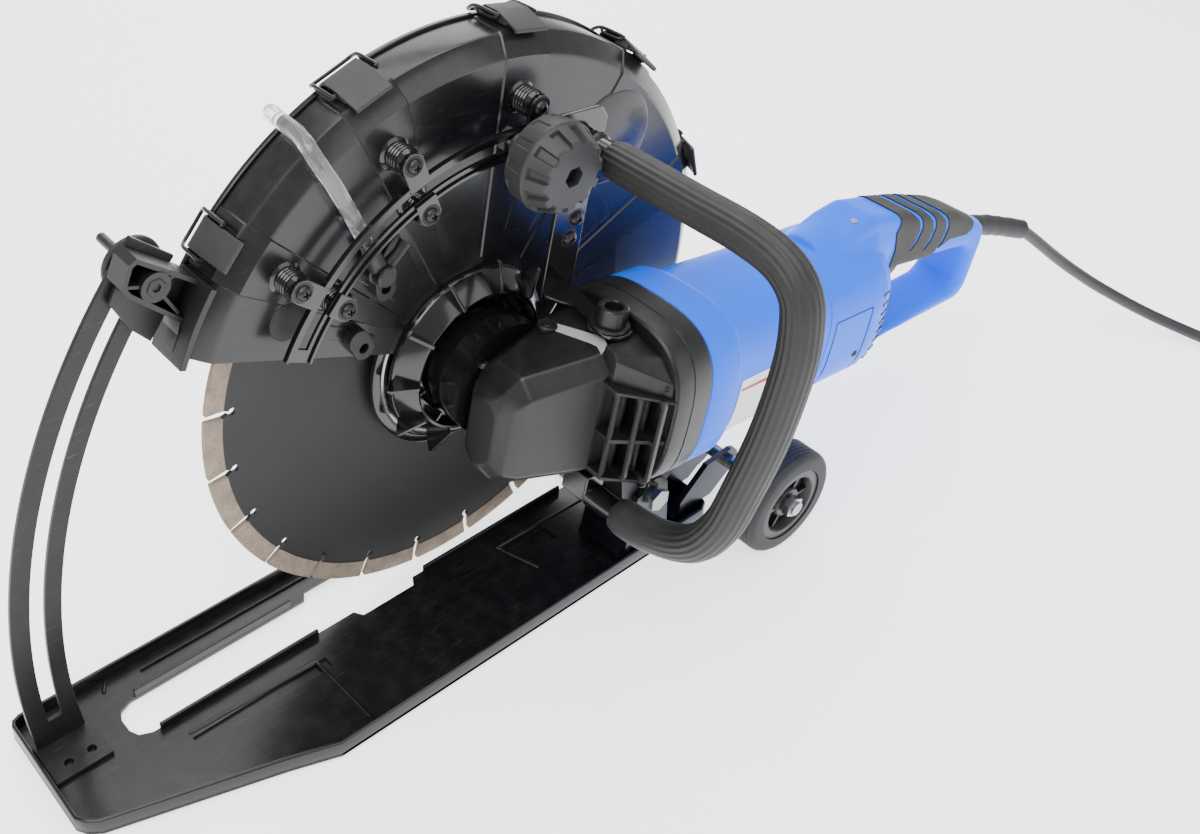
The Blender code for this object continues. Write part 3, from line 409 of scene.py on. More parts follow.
def route(points, spacing):
    """Points every spacing along a Catmull-Rom curve through the given points."""
    knots = [Vector(p) for p in points]
    knots = [2 * knots[0] - knots[1]] + knots + [2 * knots[-1] - knots[-2]]
    fine = []
    for p0, p1, p2, p3 in zip(knots, knots[1:], knots[2:], knots[3:]):
        for i in range(24):
            t = i / 24
            fine.append(0.5 * (2 * p1 + (p2 - p0) * t + (2 * p0 - 5 * p1 + 4 * p2 - p3) * t ** 2
                               + (3 * p1 - p0 - 3 * p2 + p3) * t ** 3))
    fine.append(knots[-2])
    length = sum((b - a).length for a, b in zip(fine, fine[1:]))
    count = max(2, round(length / spacing))
    wanted = [length * i / count for i in range(count + 1)]
    result = [fine[0]]
    done = 0.0
    for a, b in zip(fine, fine[1:]):
        step = (b - a).length
        while len(result) < count and done + step >= wanted[len(result)]:
            result.append(a.lerp(b, (wanted[len(result)] - done) / step))
        done += step
    result.append(fine[-1])
    return result


def sweep(name, places, radius, place, sides=16, closed=False, lobes=None):
    """A tube along places.  radius is a number or f(t); lobes(angle, t) adds to it."""
    places = [Vector(p) for p in places]
    count = len(places)
    sections = []
    up = None
    for i, here in enumerate(places):
        before = places[i - 1] if i or closed else here
        after = places[(i + 1) % count] if i + 1 < count or closed else here
        along = (after - before).normalized()
        if up is None:
            up = along.cross(Vector((0.3, 0.2, 1.0))).normalized()
        up = (up - along * up.dot(along)).normalized()
        side = along.cross(up)
        t = i / (count - 1)
        r0 = radius(t) if callable(radius) else radius
        section = []
        for k in range(sides):
            a = 2 * math.pi * k / sides
            r = r0 + (lobes(a, t) if lobes else 0.0)
            section.append(here + r * (math.cos(a) * up + math.sin(a) * side))
        sections.append(section)
    return loft(name, sections, place, closed)


def oval(s, half_y, half_u, power=3.0, count=48, y=MOTOR_Y, u=0.0):
    """A rounded rectangle across the motor's axis, at s along it."""
    points = []
    for i in range(count):
        a = 2 * math.pi * i / count
        c, d = math.cos(a), math.sin(a)
        points.append((s, y + half_y * math.copysign(abs(c) ** (2 / power), c),
                       u + half_u * math.copysign(abs(d) ** (2 / power), d)))
    return points


def bulge(t):
    """Half width of the motor's section at t of its half height, both as shares."""
    return (1 - abs(t) ** MOTOR_POWER) ** (1 / MOTOR_POWER)


def join(name, objects):
    """Several shells as one piece."""
    bm = bmesh.new()
    for obj in objects:
        bm.from_mesh(obj.data)
        bpy.data.objects.remove(obj, do_unlink=True)
    mesh = bpy.data.meshes.new(name)
    bm.to_mesh(mesh)
    bm.free()
    return add(name, mesh)


def screw(name, centre, axis, place, radius=4.0, height=2.6, washer=0.0):
    """A pan head screw with a cross recess, its axis pointing out of the surface."""
    profile = [(0, height), (radius * 0.45, height * 0.97), (radius * 0.8, height * 0.75),
               (radius, height * 0.3), (radius, -0.6), (0, -0.6)]
    turn = Vector(axis).to_track_quat("Y", "Z").to_matrix().to_4x4()
    at = place @ Matrix.Translation(centre) @ turn
    head = lathe(name, profile, at, steps=28)
    cutters = [block(name + "_a", (-radius * 0.5, height * 0.45, -0.55), (radius * 0.5, height + 1, 0.55),
                     at),
               block(name + "_b", (-0.55, height * 0.45, -radius * 0.5), (0.55, height + 1, radius * 0.5),
                     at)]
    combine(head, cutters)
    shade(head)
    if washer:
        ring = lathe(name + "_washer", [(washer, 0.2), (washer, -1.0), (1.5, -1.0), (1.5, 0.2)], at,
                     steps=32)
        head = join(name, [head, ease(ring, 0.2, 2, 32)])
    return head


# --------------------------------------------------------------------- cord
CORD_D = 9.0
FLOOR_Z = CORD_D / 2 + 0.1
COIL = (694.0, -290.0)


def half_way(t):
    """Smoothly from 0 to a half, as t goes from 0 to 1."""
    t = max(0.0, t)
    return t * t * (3 - 2 * t) * 0.5


def drive_to_ground(point):
    return GROUND.inverted() @ (DRIVE @ Vector(point))


RELIEF = [(436.4, HANDLE_Y, 7.0), (446, -84.8, 6.6), (462, -89, 5.2), (478, -96, 2.9), (492.8, -103, 0.2)]
relief_axis = (Vector(RELIEF[-1]) - Vector(RELIEF[-2])).normalized()
exit_point = drive_to_ground(Vector(RELIEF[-1]) + relief_axis * 0.2)
heading = (drive_to_ground(Vector(RELIEF[-1]) + relief_axis) - drive_to_ground(RELIEF[-1])).normalized()
FREE = [exit_point, exit_point + heading * 9, (512.8, -111.5, 88.0), (532, -121, 69.5), (550, -132, 55),
        (571, -148, 38.5), (598, -174, 19), (618.9, -211.5, 7.4), (630, -243, FLOOR_Z),
        (632.8, -256, FLOOR_Z), (635.0, -274, FLOOR_Z)]
cord_places = [Vector((p[0], p[1], max(p[2], FLOOR_Z))) for p in route(FREE, 12.0)]
for _ in range(10):
    cord_places[1:9] = [here * 0.5 + (before + after) * 0.25 for before, here, after in
                        zip(cord_places[:8], cord_places[1:9], cord_places[2:10])]
TURNS = ((59, 0), (50, 0), (41, 0), (41, 1), (50, 1), (59, 1), (50, 2), (59, 2))
TURN_STEPS = 24
for number, (radius, layer) in enumerate(TURNS):
    after = TURNS[min(number + 1, len(TURNS) - 1)]
    before = TURNS[max(number - 1, 0)]
    for k in range(TURN_STEPS):
        t = k / TURN_STEPS
        late = half_way((t - (1 - SMOOTH_SHARE)) / SMOOTH_SHARE)
        early = half_way((SMOOTH_SHARE - t) / SMOOTH_SHARE)
        r = radius + (after[0] - radius) * late + (before[0] - radius) * early
        z = FLOOR_Z + CORD_D * (layer + (after[1] - layer) * late + (before[1] - layer) * early)
        x, y = polar(r, 180 + 360 * t)
        cord_places.append(Vector((COIL[0] + x, COIL[1] + y, z)))
TAIL = [(635.0, -290, FLOOR_Z + 18), (635.4, -310, 20.6), (637.0, -329, 16.8), (643.6, -350.5, 11.6),
        (657.5, -367.5, 8.8), (672, -376, 10.8), (683, -378.2, 14)]
cord_places += route(TAIL, 10.0)
cord = shade(sweep("supply_cord", cord_places, CORD_D / 2, GROUND, 14), 60)
cord_places = [GROUND @ p for p in cord_places]
cord.data.materials.clear()
cord.data.materials.append(cord_grey)
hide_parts("cord_tube", "cord_coil")
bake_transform(cord)

plug_at = GROUND @ shift(698.0, -378.0, 18.4)
plug_profile = [(0, 38), (14.5, 38), (15.3, 37.2), (15.5, 35.5), (17.2, 34.5), (18.0, 32), (18.0, 14),
                (17.2, 6), (14.0, 0), (11.0, -5), (9.3, -8), (0, -8)]
plug_body = lathe("plug_body", plug_profile, plug_at, axis="X", steps=48,
                  wobble=lambda a, i: -0.5 * abs(math.cos(8 * a)) if 6 <= i <= 7 else 0.0)
neck = sweep("plug_neck", [(-24, 0, -4.4), (-18, 0, -3.4), (-12, 0, -2.2), (-6, 0, -0.8), (2, 0, 0)],
             lambda t: 6.0 + 3.6 * t, plug_at, 20, lobes=lambda a, t: 0.4 * math.cos(t * 36))
plug_shell = shade(join("cord_plug_body", [plug_body, neck]))
pins = [lathe(f"pin_{k}", [(0, 56.8), (1.5, 56.8), (2.35, 55.6), (2.35, 36), (0, 36)],
              plug_at @ shift(0, k * 9.5, 0), axis="X", steps=20) for k in (-1, 1)]
finish(plug_shell, "base", nylon_black, "rubber", "cord_plug")
plug_pins = finish(shade(join("cord_plug_pins", pins)), "base", steel, "steel")

relief_places = [(436.1, HANDLE_Y, 7.0)] + route(RELIEF[1:-1] + [tuple(RELIEF[-1])], 3.0)
relief = sweep("strain_relief_boot", relief_places, lambda t: 8.5 - 1.0 * t, DRIVE, 28,
               lobes=lambda a, t: -0.35 if 0.2 < t < 0.8 and int(t * 26) % 2 else 0.0)
ease(relief, 0.35)
finish(relief, "saw", cord_grey, "rubber", "strain_relief")


# -------------------------------------------------------------------- blade
core = []
for k in range(SEGMENTS):
    a = FIRST_GULLET + SEGMENT_PITCH * k
    gullet = a + SEGMENT_PITCH
    half = math.degrees(2.0 / 163)
    core += [polar(167.3, a + half + 0.35)] + arc(167.3, a + half + 1, gullet - half - 1, 9)
    core += [polar(167.3, gullet - half - 0.35)]
    core += [polar(162.6, gullet - math.degrees(1.2 / 162))]
    x, z = polar(159.8, gullet)
    core += [(x + 2.7 * math.cos(math.radians(gullet + t)), z + 2.7 * math.sin(math.radians(gullet + t)))
             for t in (-25, -60, -100, -140, -180, -220, -260, -300, -335)]
    core += [polar(162.6, gullet + math.degrees(1.2 / 162))]
blade = slab("blade_core", [core, arc(12.75, 360, 7.5, 48)], -1.3, 1.3, SPIN)
ease(blade, 0.25)
finish(blade, "blade_group", core_grey, "blade_steel", "blade")
segments = []
for k in range(SEGMENTS):
    a = FIRST_GULLET + SEGMENT_PITCH * k
    gullet = a + SEGMENT_PITCH
    half = math.degrees(2.1 / 172)
    outline = arc(177.4, a + half, gullet - half, 9) + arc(165.4, gullet - half - 0.2, a + half + 0.2, 9)
    segments.append(ease(slab(f"segment_{k}", [outline], -1.7, 1.7, SPIN), 0.45))
finish(join("blade_segments", segments), "blade_group", diamond, "blade_steel")


# -------------------------------------------------------------------- guard
def sector(name, profile, start=-26.0, end=156.0, step=1.5):
    """A (radius, y) profile turned part of the way round the blade's axis."""
    count = round((end - start) / step) + 1
    sections = []
    for i in range(count):
        a = math.radians(start + (end - start) * i / (count - 1))
        sections.append([(r * math.cos(a), y, r * math.sin(a)) for r, y in profile])
    return loft(name, sections, SPIN)


hood = sector("guard_hood", [
    (39.0, -14.0), (188.6, -14.0), (190.4, -13.7), (192.0, -12.9), (200.6, -7.2), (201.9, -5.8),
    (202.5, -4.0), (203.0, 17.0), (200.2, 17.0), (199.4, -4.4), (190.0, -11.2), (39.0, -11.2)])
shade(hood, 24)
finish(hood, "saw", guard_black, "guard_paint", "guard_housing")

bands = []
for index, angle in enumerate(LATCHES):
    under = [(66, -13.9, 4.5), (190.2, -13.9, 17.0), (191.6, -13.0, 17.2), (201.0, -6.4, 17.5),
             (202.2, -4.6, 17.6), (202.8, 16.6, 17.6)]
    over = [(66, -14.9, 4.5), (190.8, -14.9, 17.0), (192.3, -13.8, 17.2), (202.0, -7.1, 17.5),
            (203.5, -5.0, 17.6), (204.0, 16.6, 17.6)]
    bm = bmesh.new()
    grid = []
    for (r0, y0, half), (r1, y1, _) in zip(under, over):
        row = []
        for column in range(10):
            if column in (0, 9):
                r, y, t = r0, y0, half if column else -half
            else:
                r, y, t = r1, y1, (-1 + 2 * (column - 1) / 7) * (half - 1.0)
            a = math.radians(angle) + math.asin(t / r)
            row.append(bm.verts.new((r * math.cos(a), y, r * math.sin(a))))
        grid.append(row)
    for first, second in zip(grid, grid[1:]):
        for i in range(9):
            bm.faces.new((first[i], first[i + 1], second[i + 1], second[i]))
    bm.faces.new(grid[0])
    bm.faces.new(grid[-1])
    bm.faces.new([row[0] for row in grid] + [row[9] for row in reversed(grid)])
    bands.append(shade(to_object(f"band_{index}", bm, SPIN), 20))
finish(join("guard_bands", bands), "saw", guard_black, "guard_paint")

panels = []
edges = (152.0,) + LATCHES + (-24.0,)
for index, (high, low) in enumerate(zip(edges, edges[1:])):
    outline = []
    for r in (PANEL_INNER, PANEL_OUTER):
        beside_band = math.degrees((5.5 + 12 * (r - 66) / 124 + 4) / r)
        ends = (high - (beside_band if high in LATCHES else 2),
                low + (beside_band if low in LATCHES else 2))
        outline += arc(r, *(ends if r == PANEL_INNER else ends[::-1]), 9)
    panels.append(ease(slab(f"panel_{index}", [outline], WALL_Y - 0.9, WALL_Y + 0.5, SPIN), 0.8))
disc_at = SPIN @ shift(112, -14, 109)
panels.append(shade(lathe("disc", [(0, -1.3), (30.0, -1.3), (30.8, -0.9), (31.2, 0.3), (0, 0.3)], disc_at,
                          steps=72)))
finish(join("guard_panels", panels), "saw", guard_black, "guard_paint")

plug = lathe("guard_plug", [(0, -3.6), (6, -3.3), (10, -2.2), (12, -0.6), (12.4, 0.4), (0, 0.4)],
             SPIN @ shift(-125, -14, 82), steps=40)
finish(shade(plug), "saw", tyre_black, "rubber")

cover = sector("guard_cover_plate", [
    (50.0, 19.2), (199.0, 19.2), (199.8, 17.3), (204.4, 17.3), (205.0, 18.0), (205.0, 20.2), (204.2, 21.2),
    (202.0, 21.7), (196.0, 22.0), (156.0, 22.0), (152.5, 20.9), (104.0, 20.9), (100.5, 22.0), (50.0, 22.0)])
shade(cover, 24)
finish(cover, "saw", guard_black, "guard_paint", "guard_cover")

ring = lathe("backing_ring_black", [(46, -6.4), (66.6, -6.4), (68, -7.4), (68, -10.2), (66.8, -10.9),
                                    (63.0, -10.9), (62.2, -10.2), (46, -10.2)], SPIN, steps=96)
finish(shade(ring), "saw", gloss_black, "guard_paint", "backing_ring")
chrome = lathe("backing_ring_bright", [(57.2, -10.3), (58.0, -11.5), (61.2, -11.5), (62.0, -10.3)], SPIN,
               steps=96)
finish(shade(chrome), "saw", steel, "steel")

collar = lathe("collar_ring", [
    (46.0, -27.4), (47.4, -27.8), (48.6, -27.2), (58.2, -18.6), (59.4, -16.8), (59.6, -14.4), (40.0, -14.4),
    (40.0, -17.4), (44.0, -18.2), (45.2, -20.0)], SPIN, steps=96)
shade(collar, 30)
fins = [collar]
for k in range(11):
    at = SPIN @ rotate(-(10 + k * 360 / 11))
    fin = slab(f"fin_{k}", [[(46.6, -26.6), (48.0, -31.0), (50.0, -31.6), (66.4, -24.6), (67.4, -22.6),
                             (59.0, -14.6), (50.0, -16.0)]], -1.1, 1.1, at, plane="XY")
    fins.append(ease(fin, 0.45))
for k in range(9):
    at = SPIN @ rotate(-(28 + k * 40))
    fins.append(ease(block(f"web_{k}", (39.2, -24.5, -0.9), (46.8, -15.0, 0.9), at), 0.35))
finish(join("guard_collar_fins", fins), "saw", gloss_black, "cast_black", "guard_collar")

neck = lathe("neck_rings", [(33.0, -11.3), (35.5, -15.0), (35.5, -26.0), (37.2, -27.5), (37.2, -34.0),
                            (38.0, -35.2), (38.0, -49.7), (13.0, -49.7), (13.0, -11.3)], SPIN, steps=80)
finish(shade(neck, 30), "saw", gloss_black, "cast_black", "bearing_neck")

# Curved clamping bar with raised edges, its rubber posts, washers and screws
bar = slab("bar_plate", [arc(156, 62, 153, 64) + arc(138, 153, 62, 64), arc(150.5, 65, 150, 56)
                         + arc(143.5, 150, 65, 56)], -30.0, -28.0, SPIN)
ease(bar, 0.5)
lips = [bar]
for r0, r1 in ((154.2, 156.0), (138.0, 139.8)):
    lips.append(ease(slab(f"lip_{r0}", [arc(r1, 62, 153, 64) + arc(r0, 153, 62, 64)], -31.4, -28.6, SPIN),
                     0.5))
POSTS = ((138.5, 168.0), (138.5, 131.5), (108.5, 168.0), (108.5, 131.5), (78.0, 167.0))
for index, (angle, radius) in enumerate(POSTS, 1):
    x, z = polar(radius, angle)
    at = SPIN @ rotate(-angle)
    if radius > 150:
        outline = [(152, -7)] + arc(7.2, -90, 90, 10, (radius, 0)) + [(152, 7)]
    else:
        outline = [(142, 7)] + arc(7.2, 90, 270, 10, (radius, 0)) + [(142, -7)]
    ear = slab(f"ear_{index}", [outline], -31.6, -29.4, at)
    lips.append(ease(ear, 0.6))
    post_at = SPIN @ shift(x, 0, z)
    profile = [(0, -13.8), (9.6, -13.8), (9.8, -15.0), (9.0, -15.6)]
    for step in range(5):
        y = -16.2 - step * 2.1
        profile += [(7.6, y), (8.1, y - 0.7), (8.1, y - 1.4)]
    profile += [(7.6, -27.2), (7.4, -29.2), (0, -29.2)]
    post = lathe(f"rubber_post_{index}", profile, post_at, steps=40)
    finish(shade(post), "saw", gloss_black, "rubber", f"guard_post_{index}")
    head = screw(f"post_screw_{index}", (x, -31.6, z), (0, -1, 0), SPIN, 4.4, 3.4, washer=6.4)
    finish(head, "saw", dark_steel, "steel")
finish(join("clamping_bar", lips), "saw", gloss_black, "black_paint", "arc_bar")

# Small lugs on the guard wall and the water valve
lugs = []
for x, z in ((-65, 82), (-82, 48)):
    angle = math.degrees(math.atan2(z, x))
    at = SPIN @ shift(x, 0, z) @ rotate(-(angle - 35))
    outline = arc(6.8, 90, 270, 12, (-3, 0)) + arc(6.8, -90, 90, 12, (5, 0))
    lugs.append(ease(slab("lug", [outline, arc(3.2, 360, 20, 18, (-2, 0))], -21.5, -14.0, at), 0.9, 3))
finish(join("guard_lugs", lugs), "saw", nylon_black, "black_nylon")

HOSE = [(-80, 28.5, 150), (-88, 30, 165), (-97, 29.5, 178), (-102, 25.5, 183.2), (-103, 19.5, 183.4),
        (-102.6, 13, 182.6), (-102.6, 4, 182.4), (-103.4, -4.5, 181.6), (-103.4, -9.5, 179),
        (-102.6, -14, 174.4), (-100, -17.8, 167), (-96, -20, 158.5), (-91.5, -20.9, 148), (-86, -20.9, 136),
        (-80, -20.9, 122), (-74.5, -20.9, 108)]
hose_places = route(HOSE, 4.0)
hose = shade(sweep("hose", hose_places, 4.5, SPIN, 20))
finish(hose, "saw", hose_clear, "hose_clear", "water_hose")
end = hose_places[-1]
axis = (hose_places[-1] - hose_places[-2]).normalized()
barb = sweep("valve_barb", [end - axis * 7, end - axis * 2, end + axis * 0.5, end + axis * 1,
                            end + axis * 20], 1.0, SPIN,
             24, lobes=lambda a, t: 2.6 if t < 0.5 else 4.4)
tap = lathe("valve_body", [(0, -28.6), (5.4, -28.6), (6.4, -27.8), (6.6, -22), (7.6, -21.2), (7.6, -14.2),
                           (0, -14.2)],
            SPIN @ shift(end.x + axis.x * 16, 0, end.z + axis.z * 16), steps=32)
elbow = sweep("valve_spout", [end + axis * 17 + Vector((4, 0, 2)), end + axis * 17 + Vector((12, -1, 9)),
                              end + axis * 17 + Vector((17, -1, 14))], 4.0, SPIN, 20,
              lobes=lambda a, t: 0.5 * math.cos(t * 20))
finish(shade(join("water_valve", [barb, tap, elbow])), "saw", nylon_black, "black_nylon", "hose_valve")

# Latches: a three-facet lever and a wire bail each
for index, angle in enumerate(LATCHES, 1):
    at = SPIN @ rotate(90 - angle)
    profile = [(-11.5, 202.9), (-13.6, 203.6), (-13.2, 205.6), (4.5, 210.6), (15.5, 210.4), (20.0, 206.6),
               (20.6, 204.9), (19.2, 204.6), (14.8, 208.4), (4.5, 208.6), (-10.5, 204.4)]
    half = 9.2 if index == 1 else 12.0
    side = half + (2.1 if index == 1 else 3.0)
    lever = slab(f"lever_plate_{index}", [profile], -half, half, at, plane="YZ")
    ease(lever, 0.7, 2, 30)
    ears = [block(f"lever_ear_{index}_{k}", (k * (half - 1.5) - 1.3, -3.0, 204.2),
                  (k * (half - 1.5) + 1.3, 7.0, 208.6), at)
            for k in (-1, 1)]
    ears = [ease(ear, 0.8) for ear in ears]
    finish(join(f"latch_lever_plate_{index}", [lever] + ears), f"lever_{index}", latch_grey, "black_nylon",
           f"latch_lever_{index}")
    half_loop = [(side - 1.6, 1.2, 209.3), (side, 2.4, 209.3), (side, 10, 209.2), (side, 19, 208.6),
                 (side - 0.6, 24.0, 205.8), (side - 2.6, 26.6, 203.6), (side - 6, 27.0, 203.2)]
    loop = [(-x, y, z) for x, y, z in half_loop] + list(reversed(half_loop))
    bail = sweep(f"bail_wire_{index}", route(loop, 2.0), 1.1, at, 12)
    second = []
    for k in (-1, 1):
        strand = [(k * (side - 1.6), 1.6, 209.2), (k * side, 3.0, 207.0), (k * side, 9, 206.4),
                  (k * side, 16, 206.4), (k * side, 18.6, 208.4)]
        second.append(sweep(f"strand_{index}_{k}", route(strand, 2.0), 1.0, at, 12))
    finish(shade(join(f"latch_bail_wire_{index}", [bail] + second)), f"bail_{index}", dark_steel, "steel",
           f"latch_bail_{index}")

# Front arm: a ribbed moulding with a boss for the guide rod
ARM = [(-201, 149.6), (-206, 147.6), (-211.6, 135.2), (-209, 129.6), (-183, 102.6)]
ARM += arc(205.3, 156.5, 144.3, 12) + [(-173.5, 126.5)]
ROD = (PIVOT_X + ROD_RADIUS * math.cos(math.radians(ROD_ANGLE)),
       PIVOT_Z + ROD_RADIUS * math.sin(math.radians(ROD_ANGLE)) - SPINDLE_Z)
rod_at = SPIN @ shift(ROD[0], 0, ROD[1])


def shrink(outline, amount):
    """An outline moved inwards by an amount, or outwards where that is negative."""
    area2 = sum(outline[i - 1][0] * outline[i][1] - outline[i][0] * outline[i - 1][1]
                for i in range(len(outline)))
    side = 1 if area2 > 0 else -1
    result = []
    for i, here in enumerate(outline):
        here = Vector(here)
        d1 = (here - Vector(outline[i - 1])).normalized()
        d2 = (Vector(outline[(i + 1) % len(outline)]) - here).normalized()
        corner = (Vector((-d1.y, d1.x)) + Vector((-d2.y, d2.x))) * side
        corner *= amount * 2 / max(corner.length_squared, 0.6)
        result.append((here.x + corner.x, here.y + corner.y))
    return result


arm_inner = shrink(ARM, 2.6)
shell = slab("arm_shell", [ARM, arm_inner], -3.0, 12.0, SPIN)
floor_plate = slab("arm_floor", [shrink(ARM, 1.5)], 8.0, 11.6, SPIN)
boss = slab("arm_boss", [arc(8.6, 0, 352, 44, ROD), arc(4.3, 352, 0, 32, ROD)], -3.6, 11.0, SPIN)
arm_parts = [ease(shell, 0.8), ease(floor_plate, 0.4), ease(boss, 0.6)]
RIBS = ((0.35, 0.94, 11.0), (-0.9, 0.35, 17.0), (-0.5, -0.86, 11.0), (0.45, -0.89, 25.0), (0.98, 0.1, 14.5))
for number, (dx, dz, length) in enumerate(RIBS):
    at = rod_at @ Matrix.Rotation(-math.atan2(dz, dx), 4, "Y")
    arm_parts.append(ease(block(f"arm_rib_{number}", (7.5, -2.4, -1.1), (length, 9.0, 1.1), at), 0.5))
flange = slab("arm_flange_strip", [arc(207.6, 144.0, 157.2, 16) + arc(203.5, 157.2, 144.0, 16)], -13.0,
              16.5, SPIN)
arm_parts.append(ease(flange, 0.6))
gusset = slab("arm_gusset", [[(-209, 129), (-183, 102.6), (-194.5, 88), (-205, 101), (-214, 121)]], 9.0,
              12.0, SPIN)
arm_parts.append(ease(gusset, 0.6))
finish(join("front_arm_moulding", arm_parts), "saw", nylon_black, "black_nylon", "front_arm")

shaft = lathe("rod_shaft", [(0, -1.2), (3.2, -1.2), (4.0, -0.4), (4.0, 24.0), (2.9, 25.0), (2.9, 53.2),
                            (2.2, 54.0), (0, 54.0)], rod_at, steps=32)
finish(shade(shaft), "rod", rod_bronze, "steel", "clamp_rod")
rim_profile = [(4.0, 19), (15.8, 19), (16.8, 19.8), (17.0, 21), (16.8, 22.2), (15.8, 23), (4.0, 23)]
finish(shade(lathe("rod_disc", rim_profile, rod_at, steps=56)), "rod", knob_grey, "black_nylon")
bolt = lathe("rod_end_screw", [(0, -2.8), (2.4, -2.8), (2.6, -4.2), (5.4, -4.2), (5.9, -3.4), (5.9, -0.6),
                               (0, -0.6)],
             rod_at, steps=6)
finish(ease(bolt, 0.25, 2, 32), "rod", dark_steel, "steel")


# ------------------------------------------------------------------ gearbox
def octagon(s, y0, y1, u0, u1, near_top, far_top, low):
    """A chamfered rectangle across the motor axis; y0 is the near side."""
    return [(s, y1, u0 + low), (s, y1, u1 - far_top), (s, y1 - far_top, u1), (s, y0 + near_top, u1),
            (s, y0, u1 - near_top), (s, y0, u0 + low), (s, y0 + low, u0), (s, y1 - low, u0)]


gearbox = loft("gearbox_case", [octagon(*row) for row in (
    (-30, -77, -55, -40, 6, 8, 7, 8),
    (-26, -86, -51, -47, 16, 9, 8, 9),
    (-19, -91, -50, -49, 26.5, 10, 9, 10),
    (20, -107, -46, -47, 38.7, 9, 10, 10),
    (36.5, -109.5, -44.5, -47.6, 43.8, 9, 11, 11),
    (38.5, -110, -44, -48, 46.0, 10, 12, 12),
    (50.3, -112, -36, -50, 46.0, 12, 14, 14))], DRIVE)
ease(gearbox, 2.2, 3, 18, 30)
finish(gearbox, "saw", cast_black, "cast_black", "gearbox_housing")

# Louvre block: three stepped frames with two openings each, under a sloping roof
louvres = []
for step, (s0, y_near) in enumerate(((21.5, -119), (31.5, -128), (41.5, -137.5))):
    high = 26.0 - step * 1.5
    outline = [(-104, high), (y_near + 2, high - 1), (y_near, high - 4), (y_near, -35), (y_near + 2.5, -38),
               (-104, -38)]
    inner_y = y_near + 2.6
    reach = y_near + 12.5
    upper = [(reach, high - 3.5), (reach, -7.5), (inner_y, -7.5), (inner_y, high - 6.0),
             (inner_y + 2, high - 3.5)]
    lower = [(reach, -11.0), (reach, -34.5), (inner_y, -34.5), (inner_y, -11.0)]
    wall = slab(f"louvre_{step}", [outline, upper, lower], s0, s0 + 3.2, DRIVE, plane="YZ")
    louvres.append(ease(wall, 0.7, 2, 35))
for name, front, back, width, angle in (
        ("louvre_roof", (20.5, [(-104, 27), (-118, 25.5), (-118, 23.5), (-104, 25)]),
         (50.2, [(-104, 27), (-139, 20.5), (-139, 18.5), (-104, 25)]), 0.5, 35),
        ("louvre_sill", (21.5, [(-104, -38), (-119, -38), (-119, -35.5), (-104, -35.5)]),
         (50.2, [(-104, -40), (-138, -40), (-138, -37.5), (-104, -37.5)]), 0.5, 35),
        ("louvre_bar", (21.5, [(-104, -10.8), (-118.6, -10.8), (-118.6, -8.0), (-104, -8.0)]),
         (50.2, [(-104, -10.8), (-137.5, -10.8), (-137.5, -8.0), (-104, -8.0)]), 0.4, 35),
        ("louvre_shoulder", (24, [(-100, 46), (-108, 45), (-111, 41), (-111, 25), (-100, 25)]),
         (50.2, [(-100, 46), (-122, 42), (-134, 30), (-136, 19), (-100, 19)]), 0.8, 30)):
    ends = [[(s, y, u) for y, u in outline] for s, outline in (front, back)]
    louvres.append(ease(loft(name, ends, DRIVE), width, 2, angle))
finish(join("gearbox_louvres", louvres), "saw", cast_black, "cast_black")

band = shade(loft("gearbox_band", [oval(*row) for row in (
    (49.8, 52.6, 53.6), (50.6, 53.6, 54.8), (52.0, 54.2, 55.6), (63.2, 54.5, 56.0), (63.6, 54.1, 55.6),
    (64.2, 54.1, 55.6), (64.6, 54.6, 56.1), (77.6, 54.6, 56.1), (79.0, 54.4, 55.8), (79.7, 53.8, 55.2))],
    DRIVE), 30)
finish(band, "saw", cast_black, "cast_black", "gearbox_flange")


def gear_top(s):
    """Height of the gearbox's sloping top face."""
    return 26.9 + (s + 18) * (38.7 - 26.9) / 38.0


STRIPE = [(15.8, -58.0), (21.0, -57.2), (31.6, -86.0), (32.4, -92.5), (29.6, -97.6), (23.2, -99.2),
          (25.8, -93.0), (24.8, -87.5)]
bm = bmesh.new()
top = [bm.verts.new((s, y, gear_top(s) + 0.35)) for s, y in STRIPE]
low = [bm.verts.new((s, y, gear_top(s) - 0.6)) for s, y in STRIPE]
bm.faces.new(top)
bm.faces.new(list(reversed(low)))
for i in range(len(STRIPE)):
    j = (i + 1) % len(STRIPE)
    bm.faces.new((top[i], top[j], low[j], low[i]))
mark = ease(to_object("gearbox_stripe", bm, DRIVE), 0.2)
finish(mark, "saw", stripe_grey, "cast_black")

heads = [screw("band_screw_a", (48.5, -129.5, 27), (-1, -0.25, 0.15), DRIVE, 3.6, 3.0, washer=5.0),
         screw("band_screw_b", (48.5, -129.0, -43), (-1, -0.25, -0.15), DRIVE, 3.6, 3.0, washer=5.0),
         screw("case_screw", (-20, -50.5, 18), (-0.3, 0.1, 1), DRIVE, 3.2, 2.0)]
finish(join("gearbox_screws", heads), "saw", dark_steel, "steel")

# Spindle lock button
lock_at = DRIVE @ shift(18, -60, 34)
lock = lathe("lock_cap", [(0, 6.5), (3.0, 6.4), (3.4, 5.6), (5.4, 6.0), (6.4, 5.2), (6.4, 4.0), (5.6, 3.4),
                          (5.6, -8), (0, -8)], lock_at, axis="Z", steps=40)
finish(shade(lock), "lock_button", nylon_black, "black_nylon", "spindle_lock")

